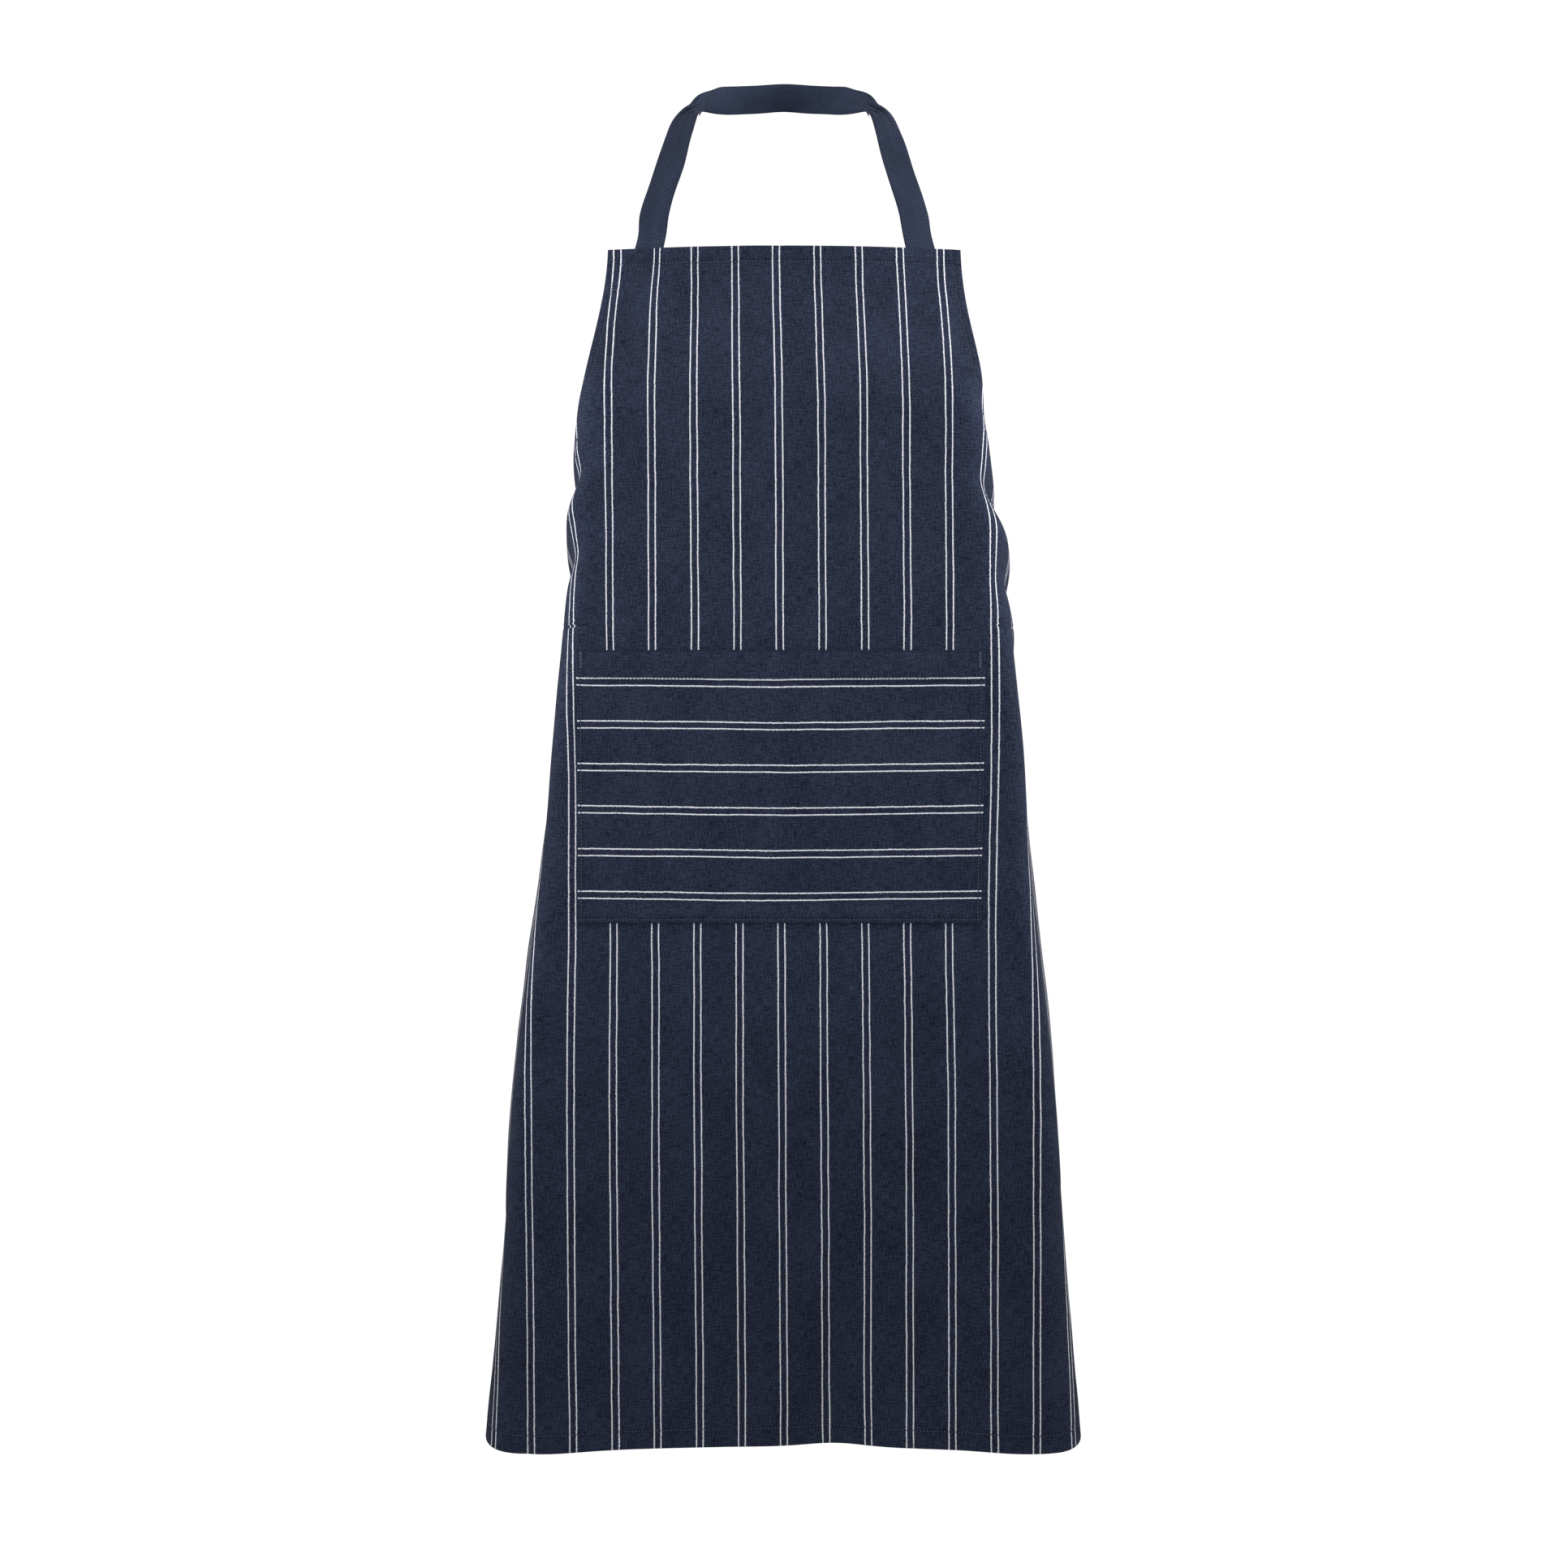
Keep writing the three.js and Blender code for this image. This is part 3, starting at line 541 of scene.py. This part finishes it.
open_out = np.clip(1 - (pocket_out / (POCKET_WIDTH / 2 - POCKET_SIDE_HEM)) ** 2, 0, 1)
open_down = np.clip(1 - (pocket_down / (POCKET_HEIGHT - POCKET_SIDE_HEM)) ** 2, 0, 1)
pocket_sag = POCKET_OPEN * open_out * open_down
pocket_sag -= 0.001 * np.exp(-np.abs(pocket_out - POCKET_CREASE) / 0.004) * open_down
pocket_sag += open_out * 0.0007 * np.sin(pocket_out * 47 + 1) * np.sin(pocket_down * 31)
on_panel = drape(pocket_out + POCKET_SHIFT, pocket_down + POCKET_DROP)
pocket_edge = np.minimum(POCKET_WIDTH / 2 - np.abs(pocket_out), POCKET_HEIGHT - pocket_down)
pocket_sides = turned_edge(pocket_edge, POCKET_SIDE_HEM, POCKET_SIDE_THICKNESS)
pocket_mouth = turned_edge(pocket_down, POCKET_MOUTH_HEM)
pocket_thick = np.maximum(pocket_sides[0], pocket_mouth[0])
# Besides the seam, a narrow band along the mouth's top edge is marked, so a line of painted shade darkens
# the edge of the opening.
pocket_seam = np.maximum(bump(pocket_edge, POCKET_SEAM_INSET, SEAM_REACH), bump(pocket_down, 0, 0.0012))
pocket_drawn = np.maximum(pocket_sides[1], pocket_mouth[1])
forward = -into_body(on_panel)
pocket_off = pocket_sag + POCKET_OFF_PANEL
pocket_back = on_panel + forward * (pocket_off + pocket_drawn)[..., None]
pocket_drawn = pocket_drawn + SEAM_SUNK * np.maximum(pocket_seam, pocket_mouth[2])
pocket_face = on_panel + forward * (pocket_off + pocket_thick - pocket_drawn)[..., None]

pocket_size = (POCKET_WIDTH, POCKET_HEIGHT)
pocket = sew("pocket_cloth", pocket_face, pocket_back, pocket_out, pocket_down, pocket_size, pocket_seam)
level_cotton, level_out, level_down = new_finish("striped_cotton_level", pocket_size)
from_crease = (level_out - POCKET_CREASE).math("ABSOLUTE")
level = level_down - FIRST_STRIPE - (1 - from_crease / (POCKET_WIDTH / 2)) * STRIPE_DIP
pocket.data.materials.append(striped_cotton(level_cotton, level_out, level_down, level, level_out))
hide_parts("pocket_panel")
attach(pocket, "apron")

# ------------------------------------------------------------------ sewing thread
# Every hem and the pocket are lockstitched with navy thread close to the cloth's own colour.
# Each stitch is a short rounded bar that bites into the cloth at both ends, on the face and
# again on the inside.
STITCH_PITCH = 0.0026
STITCH_LENGTH = 0.0020
THREAD_RADIUS = 0.0003
STITCH_SIDES = 6

thread_finish = bpy.data.materials.new("navy_thread")
thread_finish.use_nodes = True
thread_start = Signal(thread_finish.node_tree)
thread_place = thread_start.add("ShaderNodeTexCoord", {}, {}, 3)
thread_tone = thread_start.add("ShaderNodeTexNoise", {}, {"Vector": thread_place, "Scale": 900.0})
thread_colour = blend_colours(thread_tone, (0.022, 0.029, 0.050, 1), (0.080, 0.098, 0.150, 1))
woven_surface(thread_finish, thread_colour, thread_tone * 0.0001, 0.6, 0.0, 0.2)


def evenly(path, pitch):
    """Places and directions at an even pitch along a line of points."""
    lengths = np.concatenate([[0], np.cumsum(np.linalg.norm(np.diff(path[:, :3], axis=0), axis=1))])
    count = max(1, int(lengths[-1] / pitch))
    at = (np.arange(count) + 0.5) * lengths[-1] / count
    columns = [np.interp(at, lengths, path[:, c]) for c in range(path.shape[1])]
    return np.stack(columns, axis=1)


def stitches(lines, length=STITCH_LENGTH, pitch=STITCH_PITCH, crosswise=False):
    """Points and faces of all the stitches along lines of (place, direction out of the cloth).
    They lie end to end along a line, or across it if crosswise."""
    along_bar = np.array([-0.5, -0.3, 0.3, 0.5]) * length
    girth = np.array([0.35, 1, 1, 0.35]) * THREAD_RADIUS
    lift = np.array([-0.7, 0.45, 0.45, -0.7]) * THREAD_RADIUS
    spin = np.linspace(0, 2 * np.pi, STITCH_SIDES, endpoint=False)
    points = []
    faces = []
    for line in lines:
        marks = evenly(line, pitch)
        heading = np.gradient(marks[:, :3], axis=0)
        heading /= np.linalg.norm(heading, axis=1, keepdims=True)
        outward = marks[:, 3:] / np.linalg.norm(marks[:, 3:], axis=1, keepdims=True)
        aside = np.cross(outward, heading)
        if crosswise:
            heading, aside = aside, -heading
        for place, ahead, side, up in zip(marks[:, :3], heading, aside, outward):
            first = len(points)
            for x, radius, z in zip(along_bar, girth, lift):
                ring = np.outer(np.cos(spin) * radius, side) + np.outer(np.sin(spin) * radius + z, up)
                points.extend(place + ahead * x + ring)
            last = first + (len(along_bar) - 1) * STITCH_SIDES
            for start in range(first, last, STITCH_SIDES):
                for k in range(STITCH_SIDES):
                    a = start + k
                    b = start + (k + 1) % STITCH_SIDES
                    faces.append((a, b, b + STITCH_SIDES, a + STITCH_SIDES))
            faces.append(tuple(first + k for k in reversed(range(STITCH_SIDES))))
            faces.append(tuple(last + k for k in range(STITCH_SIDES)))
    return points, faces


def thread_row(name, node, bars):
    """One row of thread from the points and faces of its stitches."""
    points, faces = bars
    mesh = bpy.data.meshes.new(name)
    mesh.from_pydata([tuple(point) for point in points], [], faces)
    mesh.shade_smooth()
    mesh.materials.append(thread_finish)
    piece = bpy.data.objects.new(name, mesh)
    bpy.context.scene.collection.objects.link(piece)
    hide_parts(node)
    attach(piece, "apron")


def seam_lines(picked):
    """The two lines of a seam through the panel, on its face and on its inside."""
    rows, columns = picked
    face = np.concatenate([panel_face[rows, columns], -inside[rows, columns]], axis=1)
    back = np.concatenate([panel_inside[rows, columns], inside[rows, columns]], axis=1)
    return face, back


seam_row = int(np.argmin(np.abs(drops - (TOP_HEM - HEM_SEAM_INSET))))
foot_row = int(np.argmin(np.abs(drops - (APRON_LENGTH - BOTTOM_HEM + HEM_SEAM_INSET))))
seam_column = int(np.argmin(np.abs(side_steps - (SIDE_HEM - HEM_SEAM_INSET))))
last_column = panel_out.shape[1] - 1
armhole_row = int(np.searchsorted(drops, ARMHOLE_DEPTH))
hem_columns = np.arange(seam_column, last_column - seam_column + 1)
armhole_rows = np.arange(seam_row, armhole_row - 3)
side_rows = np.arange(armhole_row + 2, foot_row + 1)

for name, row in (("top_hem", seam_row), ("bottom_hem", foot_row)):
    lines = seam_lines((np.full_like(hem_columns, row), hem_columns))
    thread_row(f"{name}_stitches", f"{name}_thread", stitches(lines))
for side, column in (("left", seam_column), ("right", last_column - seam_column)):
    for name, rows in (("armhole", armhole_rows), ("side_hem", side_rows)):
        lines = seam_lines((rows, np.full_like(rows, column)))
        thread_row(f"{name}_stitches_{side}", f"{name}_thread_{side}", stitches(lines))


def pocket_line(out, down):
    """A line on the pocket's face from corner to corner, and the direction out of the cloth."""
    rows = [np.argmin(np.abs(pocket_drops - d)) for d in down]
    columns = [np.argmin(np.abs(pocket_out[0] - o)) for o in out]
    walk = []
    for row, next_row, column, next_column in zip(rows, rows[1:], columns, columns[1:]):
        count = max(abs(next_row - row), abs(next_column - column)) + 1
        walk.append(np.linspace((row, column), (next_row, next_column), count, axis=1))
    walk = np.concatenate(walk, axis=1).round().astype(int)
    keep = np.concatenate([[True], np.any(np.diff(walk, axis=1) != 0, axis=0)])
    picked = tuple(walk[:, keep])
    return np.concatenate([pocket_face[picked], forward[picked]], axis=1)


seam_out = POCKET_WIDTH / 2 - POCKET_SEAM_INSET
seam_foot = POCKET_HEIGHT - POCKET_SEAM_INSET
u_seam = pocket_line((-seam_out, -seam_out, seam_out, seam_out), (0.001, seam_foot, seam_foot, 0.001))
thread_row("pocket_seam_stitches", "pocket_seam_thread", stitches([u_seam]))
mouth_seam = pocket_line((-seam_out + 0.003, seam_out - 0.003), (POCKET_MOUTH_HEM - HEM_SEAM_INSET,) * 2)
thread_row("pocket_mouth_stitches", "pocket_mouth_thread", stitches([mouth_seam]))
for name, side in (("left", -1), ("right", 1)):
    tack = pocket_line((side * (seam_out - 0.001),) * 2, (0.001, 0.014))
    bars = stitches([tack], length=0.0022, pitch=0.0009, crosswise=True)
    thread_row(f"pocket_bartack_stitches_{name}", f"pocket_bartack_{name}", bars)

# ------------------------------------------------------------------ neck strap
# One length of navy herringbone tape. Its ends are caught behind the bib's top hem. Each leg leans
# in, climbs over the side of the neck, is pinched into a fold there and runs on edge behind it.
TAPE_WIDTH = 0.022
TAPE_THICKNESS = 0.0011
STRAP_SPACING = 0.206
STRAP_TUCKED = 0.020
STRAP_LEAN = math.radians(15)
STRAP_SPREAD = 0.003  # the legs stand a little wider apart than on the flat apron
TAPE_ON_HEM = 0.00055
TAPE_STEP = 0.0022
TAPE_RIPPLE = 0.0003
PLEAT = 0.0042
RIB_WIDTH = 0.0055
TWILL_PITCH = 0.0026
TAPE_DARK = (0.0022, 0.0040, 0.0115, 1)
TAPE_LIGHT = (0.0360, 0.0490, 0.0900, 1)


def herringbone(name, length):
    """Navy tape woven in ribs of twill that lean left and right by turns."""
    finish, out, down = new_finish(name, (TAPE_WIDTH, length))
    rib = (out / RIB_WIDTH).math("PINGPONG", 1.0)
    slope = rib * (RIB_WIDTH * 1.7) + down
    twill = slope.wave(TWILL_PITCH) * 0.5 + 0.5
    grain = noise_of(out, down, 1600, 900, 1.0)
    cloud = noise_of(out, down, 60, 30, 2.0)
    selvedge = 1 - out.math("ABSOLUTE").near(TAPE_WIDTH / 2 - 0.0008, 0.0006)
    tone = (twill * 0.95 + grain * 0.8 + cloud * 0.4) * (1 - selvedge * 0.4)
    colour = blend_colours(tone.clamped(), TAPE_DARK, TAPE_LIGHT)
    woven_surface(finish, colour, twill * 0.00018 + grain * 0.0001, 0.8, 0.03, 0.1)
    return finish


def between(at, low, high, first, second):
    """Runs from first at low to second at high."""
    return (high - at) / (high - low) * first + (at - low) / (high - low) * second


def smooth_line(stations, count):
    """A curve through stations, spaced by the root of the gaps between them."""
    stations = np.array(stations, float)
    gaps = np.linalg.norm(np.diff(stations[:, :3], axis=0), axis=1) ** 0.5
    knots = np.concatenate([[0], np.cumsum(gaps)])
    before = 2 * stations[0] - stations[1]
    after = 2 * stations[-1] - stations[-2]
    points = np.concatenate([[before], stations, [after]])
    knots = np.concatenate([[-gaps[0]], knots, [knots[-1] + gaps[-1]]])
    where = np.linspace(knots[1], knots[-2], count)
    line = []
    for at in where:
        i = int(np.clip(np.searchsorted(knots, at, side="right") - 1, 1, len(points) - 3))
        k = knots[i - 1 : i + 3]
        p = points[i - 1 : i + 3]
        a = [between(at, k[j], k[j + 1], p[j], p[j + 1]) for j in range(3)]
        b = [between(at, k[j], k[j + 2], a[j], a[j + 1]) for j in range(2)]
        line.append(between(at, k[1], k[2], b[0], b[1]))
    return np.array(line)


def tape(name, node, stations, held, rests_on, body="apron", pleat=PLEAT):
    """A length of tape through stations of (place, direction of its width, share of width left).
    Where it is gathered it stands in pleats."""
    stations = [(*place, *width, left) for place, width, left in stations]
    draft = smooth_line(stations, 300)
    length = float(np.linalg.norm(np.diff(draft[:, :3], axis=0), axis=1).sum())
    count = int(length / TAPE_STEP)
    line = smooth_line(stations, count)
    middle = line[:, :3]
    ahead = np.gradient(middle, axis=0)
    ahead /= np.linalg.norm(ahead, axis=1, keepdims=True)
    width = line[:, 3:6] - ahead * np.sum(line[:, 3:6] * ahead, axis=1, keepdims=True)
    width /= np.linalg.norm(width, axis=1, keepdims=True)
    through = np.cross(ahead, width)
    left = np.clip(line[:, 6], 0.2, 1)[:, None]
    share = np.array([-1, -0.98, -0.93, -0.8, -0.6, -0.4, -0.2, 0, 0.2, 0.4, 0.6, 0.8, 0.93, 0.98, 1])
    half_thick = TAPE_THICKNESS / 2 * (0.12 + 0.88 * np.sqrt(1 - share**4))[None, :]
    run = np.concatenate([[0], np.cumsum(np.linalg.norm(np.diff(middle, axis=0), axis=1))])
    run *= length / run[-1]
    wave = (1 - left) * pleat * np.cos(3 * np.pi * share[None, :])
    wave += TAPE_RIPPLE * np.sin(run[:, None] * 130 + share[None, :] * 1.3) * share[None, :] ** 2
    across = middle[:, None] + width[:, None] * (share[None, :, None] * left[..., None] * TAPE_WIDTH / 2)
    face = across + through[:, None] * (wave + half_thick)[..., None]
    back = across + through[:, None] * (wave - half_thick)[..., None]
    out = np.repeat(share[None, :] * TAPE_WIDTH / 2, count, axis=0)
    down = np.repeat(run[:, None], len(share), axis=1)
    piece = sew(name, face, back, out, down, (TAPE_WIDTH, length))
    piece.data.materials.append(herringbone(f"herringbone_{name}", length))
    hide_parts(node)
    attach(piece, body)


def on_cloth(out, down):
    """One place on the draped panel and the direction into the body there."""
    grid_out = np.array([[out - 0.002, out, out + 0.002]] * 3)
    grid_down = down + np.array([[-0.002] * 3, [0.0] * 3, [0.002] * 3])
    places = drape(grid_out, grid_down)
    return places[1, 1], into_body(places)[1, 1]


def behind_hem(out, down, slant_out, slant_down, left=1.0):
    """A tape station on the inside of a hem, its width along a slant on the cloth."""
    high, _ = on_cloth(out + slant_out * TAPE_WIDTH / 2, down + slant_down * TAPE_WIDTH / 2)
    low, _ = on_cloth(out - slant_out * TAPE_WIDTH / 2, down - slant_down * TAPE_WIDTH / 2)
    _, inward = on_cloth(out, down)
    middle = (high + low) / 2 + inward * (HEM_THICKNESS + TAPE_ON_HEM + TAPE_THICKNESS / 2)
    return middle, (high - low) / np.linalg.norm(high - low), left


def strap_leg(side):
    """Stations from the tucked end up to the nape. Above the bib, places are in shares of half the
    strap's spacing, of the bib's distance in front of the neck, and of its drop below it."""
    end = side * (STRAP_SPACING / 2 + STRAP_SPREAD)
    lean_out = side * math.cos(STRAP_LEAN)
    lean_down = -math.sin(STRAP_LEAN)
    drift = side * STRAP_TUCKED * math.tan(STRAP_LEAN)

    def above(outwards, forwards, downwards, width, left=1.0):
        place = np.array([side * outwards * STRAP_SPACING / 2, forwards * FRONT, -downwards * NECK_TO_BIB])
        return place, np.array([side * width[0], width[1], width[2]]), left

    return [
        behind_hem(end + drift, STRAP_TUCKED, lean_out, lean_down),
        behind_hem(end, 0.001, lean_out, lean_down),
        behind_hem(end - drift / 2, -STRAP_TUCKED / 2, lean_out, lean_down),
        above(0.94, 0.72, 0.80, (0.98, 0.1, -0.1)),
        above(0.83, 0.575, 0.46, (0.98, 0.15, -0.05)),
        above(0.774, 0.48, 0.264, (0.95, 0.25, -0.05), 0.95),
        above(0.72, 0.385, 0.12, (0.95, 0.2, -0.14), 0.88),
        above(0.652, 0.29, 0.054, (0.6, 0, 0.8), 0.52),
        above(0.588, 0.2, -0.009, (-0.45, -0.3, 0.8), 0.85),
        above(0.399, 0.085, -0.046, (0, 0, 1)),
        above(0.209, 0.03, -0.067, (0, 0, 1)),
    ]


neck_rest = (np.array([0, TAPE_THICKNESS / 2, TAPE_WIDTH / 2]), np.array([0, 0, 1]), 1.0)
strap_stations = [*strap_leg(-1), neck_rest, *strap_leg(1)[::-1]]
tape("neck_tape", "neck_strap", strap_stations, "hung", ["wearer"])

# ------------------------------------------------------------------ waist ties and bow
# Two more lengths of the tape are caught behind the skirt's top corners and tied in a bow behind
# the waist: a knot, two drooping loops, and two loose ends that hang and swing.
TIE_TUCKED = 0.024
TIE_DROP = ARMHOLE_DEPTH + TAPE_WIDTH / 2 + 0.002
KNOT = np.array([0, 0.042, -NECK_TO_BIB - 0.304])
KNOT_RADIUS = 0.012
KNOT_DEPTH = 0.015
GATHERED = 0.5
LOOP_REACH = 0.088
LOOP_DROOP = 0.022
LOOP_OPEN = 0.015
LOOP_BEHIND = 0.0042
TAIL_LENGTH = 0.33
TAIL_SWAY = 0.005
LOOP_PLEAT = 0.003
TAIL_PLEAT = 0.0011  # shallow, so that the loose ends swing past each other
LEFT_TAIL_BACK = -0.0002
RIGHT_TAIL_BACK = -0.0027


def waist_tie(side):
    edge = side * SKIRT_WIDTH / 2
    stations = [
        behind_hem(edge - side * TIE_TUCKED, TIE_DROP, 0, -1),
        behind_hem(edge - side * 0.002, TIE_DROP, 0, -1),
    ]
    start = stations[1][0]
    leaving = start - stations[0][0]
    leaving /= np.linalg.norm(leaving)
    end = KNOT + np.array([side * KNOT_RADIUS * 0.6, -0.4 * KNOT_DEPTH, 0])
    reach = np.linalg.norm(end - start) / 3
    near_start = start + leaving * reach
    near_end = end + np.array([side * reach, 0, -0.002])
    for share in (0.14, 0.28, 0.42, 0.56, 0.7, 0.84, 1):
        rest = 1 - share
        place = rest**3 * start + 3 * rest**2 * share * near_start
        place = place + 3 * rest * share**2 * near_end + share**3 * end
        stations.append((place, np.array([0, 0, 1]), 1 - 0.35 * ease(0.72, 1, share)))
    return stations


def bow_loop(side):
    def at(outwards, backwards, downwards, left=1.0):
        aside = [side * outwards * LOOP_REACH, LOOP_BEHIND + backwards * LOOP_OPEN, -downwards * LOOP_DROOP]
        return KNOT + np.array(aside), np.array([0.2 * side, 0, 0.98]), left

    return [
        at(0.07, 0, 0, GATHERED * 0.8),
        at(0.16, 0, 0.02, GATHERED),
        at(0.5, 0, 0.35, 0.97),
        at(0.88, 0.15, 0.85),
        at(1, 0.55, 1),
        at(0.88, 1, 0.9),
        at(0.5, 0.88, 0.45, 0.97),
        at(0.16, 0.24, 0.05, GATHERED),
        at(0.07, 0.2, 0.05, GATHERED * 0.8),
    ]


def tie_tail(side):
    layer = RIGHT_TAIL_BACK if side > 0 else LEFT_TAIL_BACK
    top = KNOT + np.array([0, layer, -KNOT_RADIUS - 0.0003])
    stations = [(top + np.array([0, 0, 0.007]), np.array([1, 0, 0]), GATHERED * 0.9)]
    for i in range(13):
        share = i / 12
        sway = side * TAIL_SWAY * math.sin(2 * math.pi * share)
        away = TAIL_SWAY * (share - side * math.sin(math.pi * share) ** 2)
        place = top + np.array([sway, away, -TAIL_LENGTH * share])
        width = np.array([1, 0.25 * math.sin(math.pi * share), 0])
        stations.append((place, width, GATHERED + (1 - GATHERED) * float(ease(0, 0.14, share))))
    return stations


for name, side in (("left", -1), ("right", 1)):
    run = (f"waist_tape_{name}", f"waist_tie_{name}", waist_tie(side), "stretched")
    tape(*run, ["apron_cloth", "bow_knot_wrap"])
    loop = (f"bow_loop_tape_{name}", f"bow_loop_{name}", bow_loop(side), "gathered")
    tape(*loop, ["bow_knot_wrap"], pleat=LOOP_PLEAT)
    tail = (f"tail_tape_{name}", f"tie_tail_{name}", tie_tail(side), "hung")
    tape(*tail, ["bow_knot_wrap"], body=f"tie_tail_{name}", pleat=TAIL_PLEAT)

# The knot is one wrap of tape pulled tight round the crossing, so it bulges and creases.
KNOT_ROWS = 49
KNOT_COLUMNS = 33
KNOT_SLIT = 0.01  # radians left open where the wrap meets itself, on the body side
knot_rows = np.linspace(np.pi + KNOT_SLIT, 3 * np.pi - KNOT_SLIT, KNOT_ROWS)
turn, slope = np.meshgrid(knot_rows, np.linspace(-1, 1, KNOT_COLUMNS), indexing="ij")
crease = 1 - 0.10 * bump(slope, 0.25 * np.sin(turn), 0.13)
crease = crease - 0.08 * bump(slope, 0.2 * np.cos(turn) - 0.45, 0.1)
girth = crease * (1 - 0.3 * slope**4)
knot_points = np.stack(
    [
        slope * KNOT_RADIUS * (0.93 + 0.06 * np.cos(turn)),
        np.cos(turn) * girth * KNOT_DEPTH / 2,
        np.sin(turn) * girth * KNOT_RADIUS,
    ],
    axis=2,
)
knot_inner = knot_points * np.array([1, 0.82, 0.86])
knot_size = (2 * KNOT_RADIUS, 2 * math.pi * KNOT_RADIUS * 0.85)
knot = sew(
    "bow_knot_wrap",
    (KNOT + knot_points)[::-1],
    (KNOT + knot_inner)[::-1],
    slope * KNOT_RADIUS,
    (turn - np.pi) / (2 * np.pi) * knot_size[1],
    knot_size,
)
knot.data.materials.append(herringbone("herringbone_knot", knot_size[1]))
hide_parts("bow_knot")
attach(knot, "apron")

# ------------------------------------------------------------------ tacks of the tape ends
# Rows of navy stitches on the inside hold each tape end through the hem: three level rows on an
# end of the strap, and two upright rows on a tie.
TACK_REACH = TAPE_WIDTH / 2 - 0.002
TACK_OFF_CLOTH = HEM_THICKNESS + TAPE_THICKNESS + 0.0008
STRAP_ROWS = (-0.006, 0.002, 0.007)
TIE_ROWS = (-0.008, 0.007)


def tack_row(corner_out, corner_down):
    """A line of places between two corners of the flat cloth, on the body side of the tape."""
    line = []
    for out, down in zip(np.linspace(*corner_out, 9), np.linspace(*corner_down, 9)):
        place, inward = on_cloth(out, down)
        line.append(np.concatenate([place + inward * TACK_OFF_CLOTH, inward]))
    return np.array(line)


for name, side in (("left", -1), ("right", 1)):
    out = side * (STRAP_SPACING / 2 + STRAP_SPREAD)
    drops_of_rows = [STRAP_TUCKED / 2 + row for row in STRAP_ROWS]
    lines = [tack_row((out - TACK_REACH, out + TACK_REACH), (down, down)) for down in drops_of_rows]
    thread_row(f"neck_tack_stitches_{name}", f"neck_tack_{name}", stitches(lines))
    outs_of_rows = [side * (SKIRT_WIDTH / 2 - TIE_TUCKED / 2) + row for row in TIE_ROWS]
    lines = [tack_row((out, out), (TIE_DROP - TACK_REACH, TIE_DROP + TACK_REACH)) for out in outs_of_rows]
    thread_row(f"tie_tack_stitches_{name}", f"tie_tack_{name}", stitches(lines))
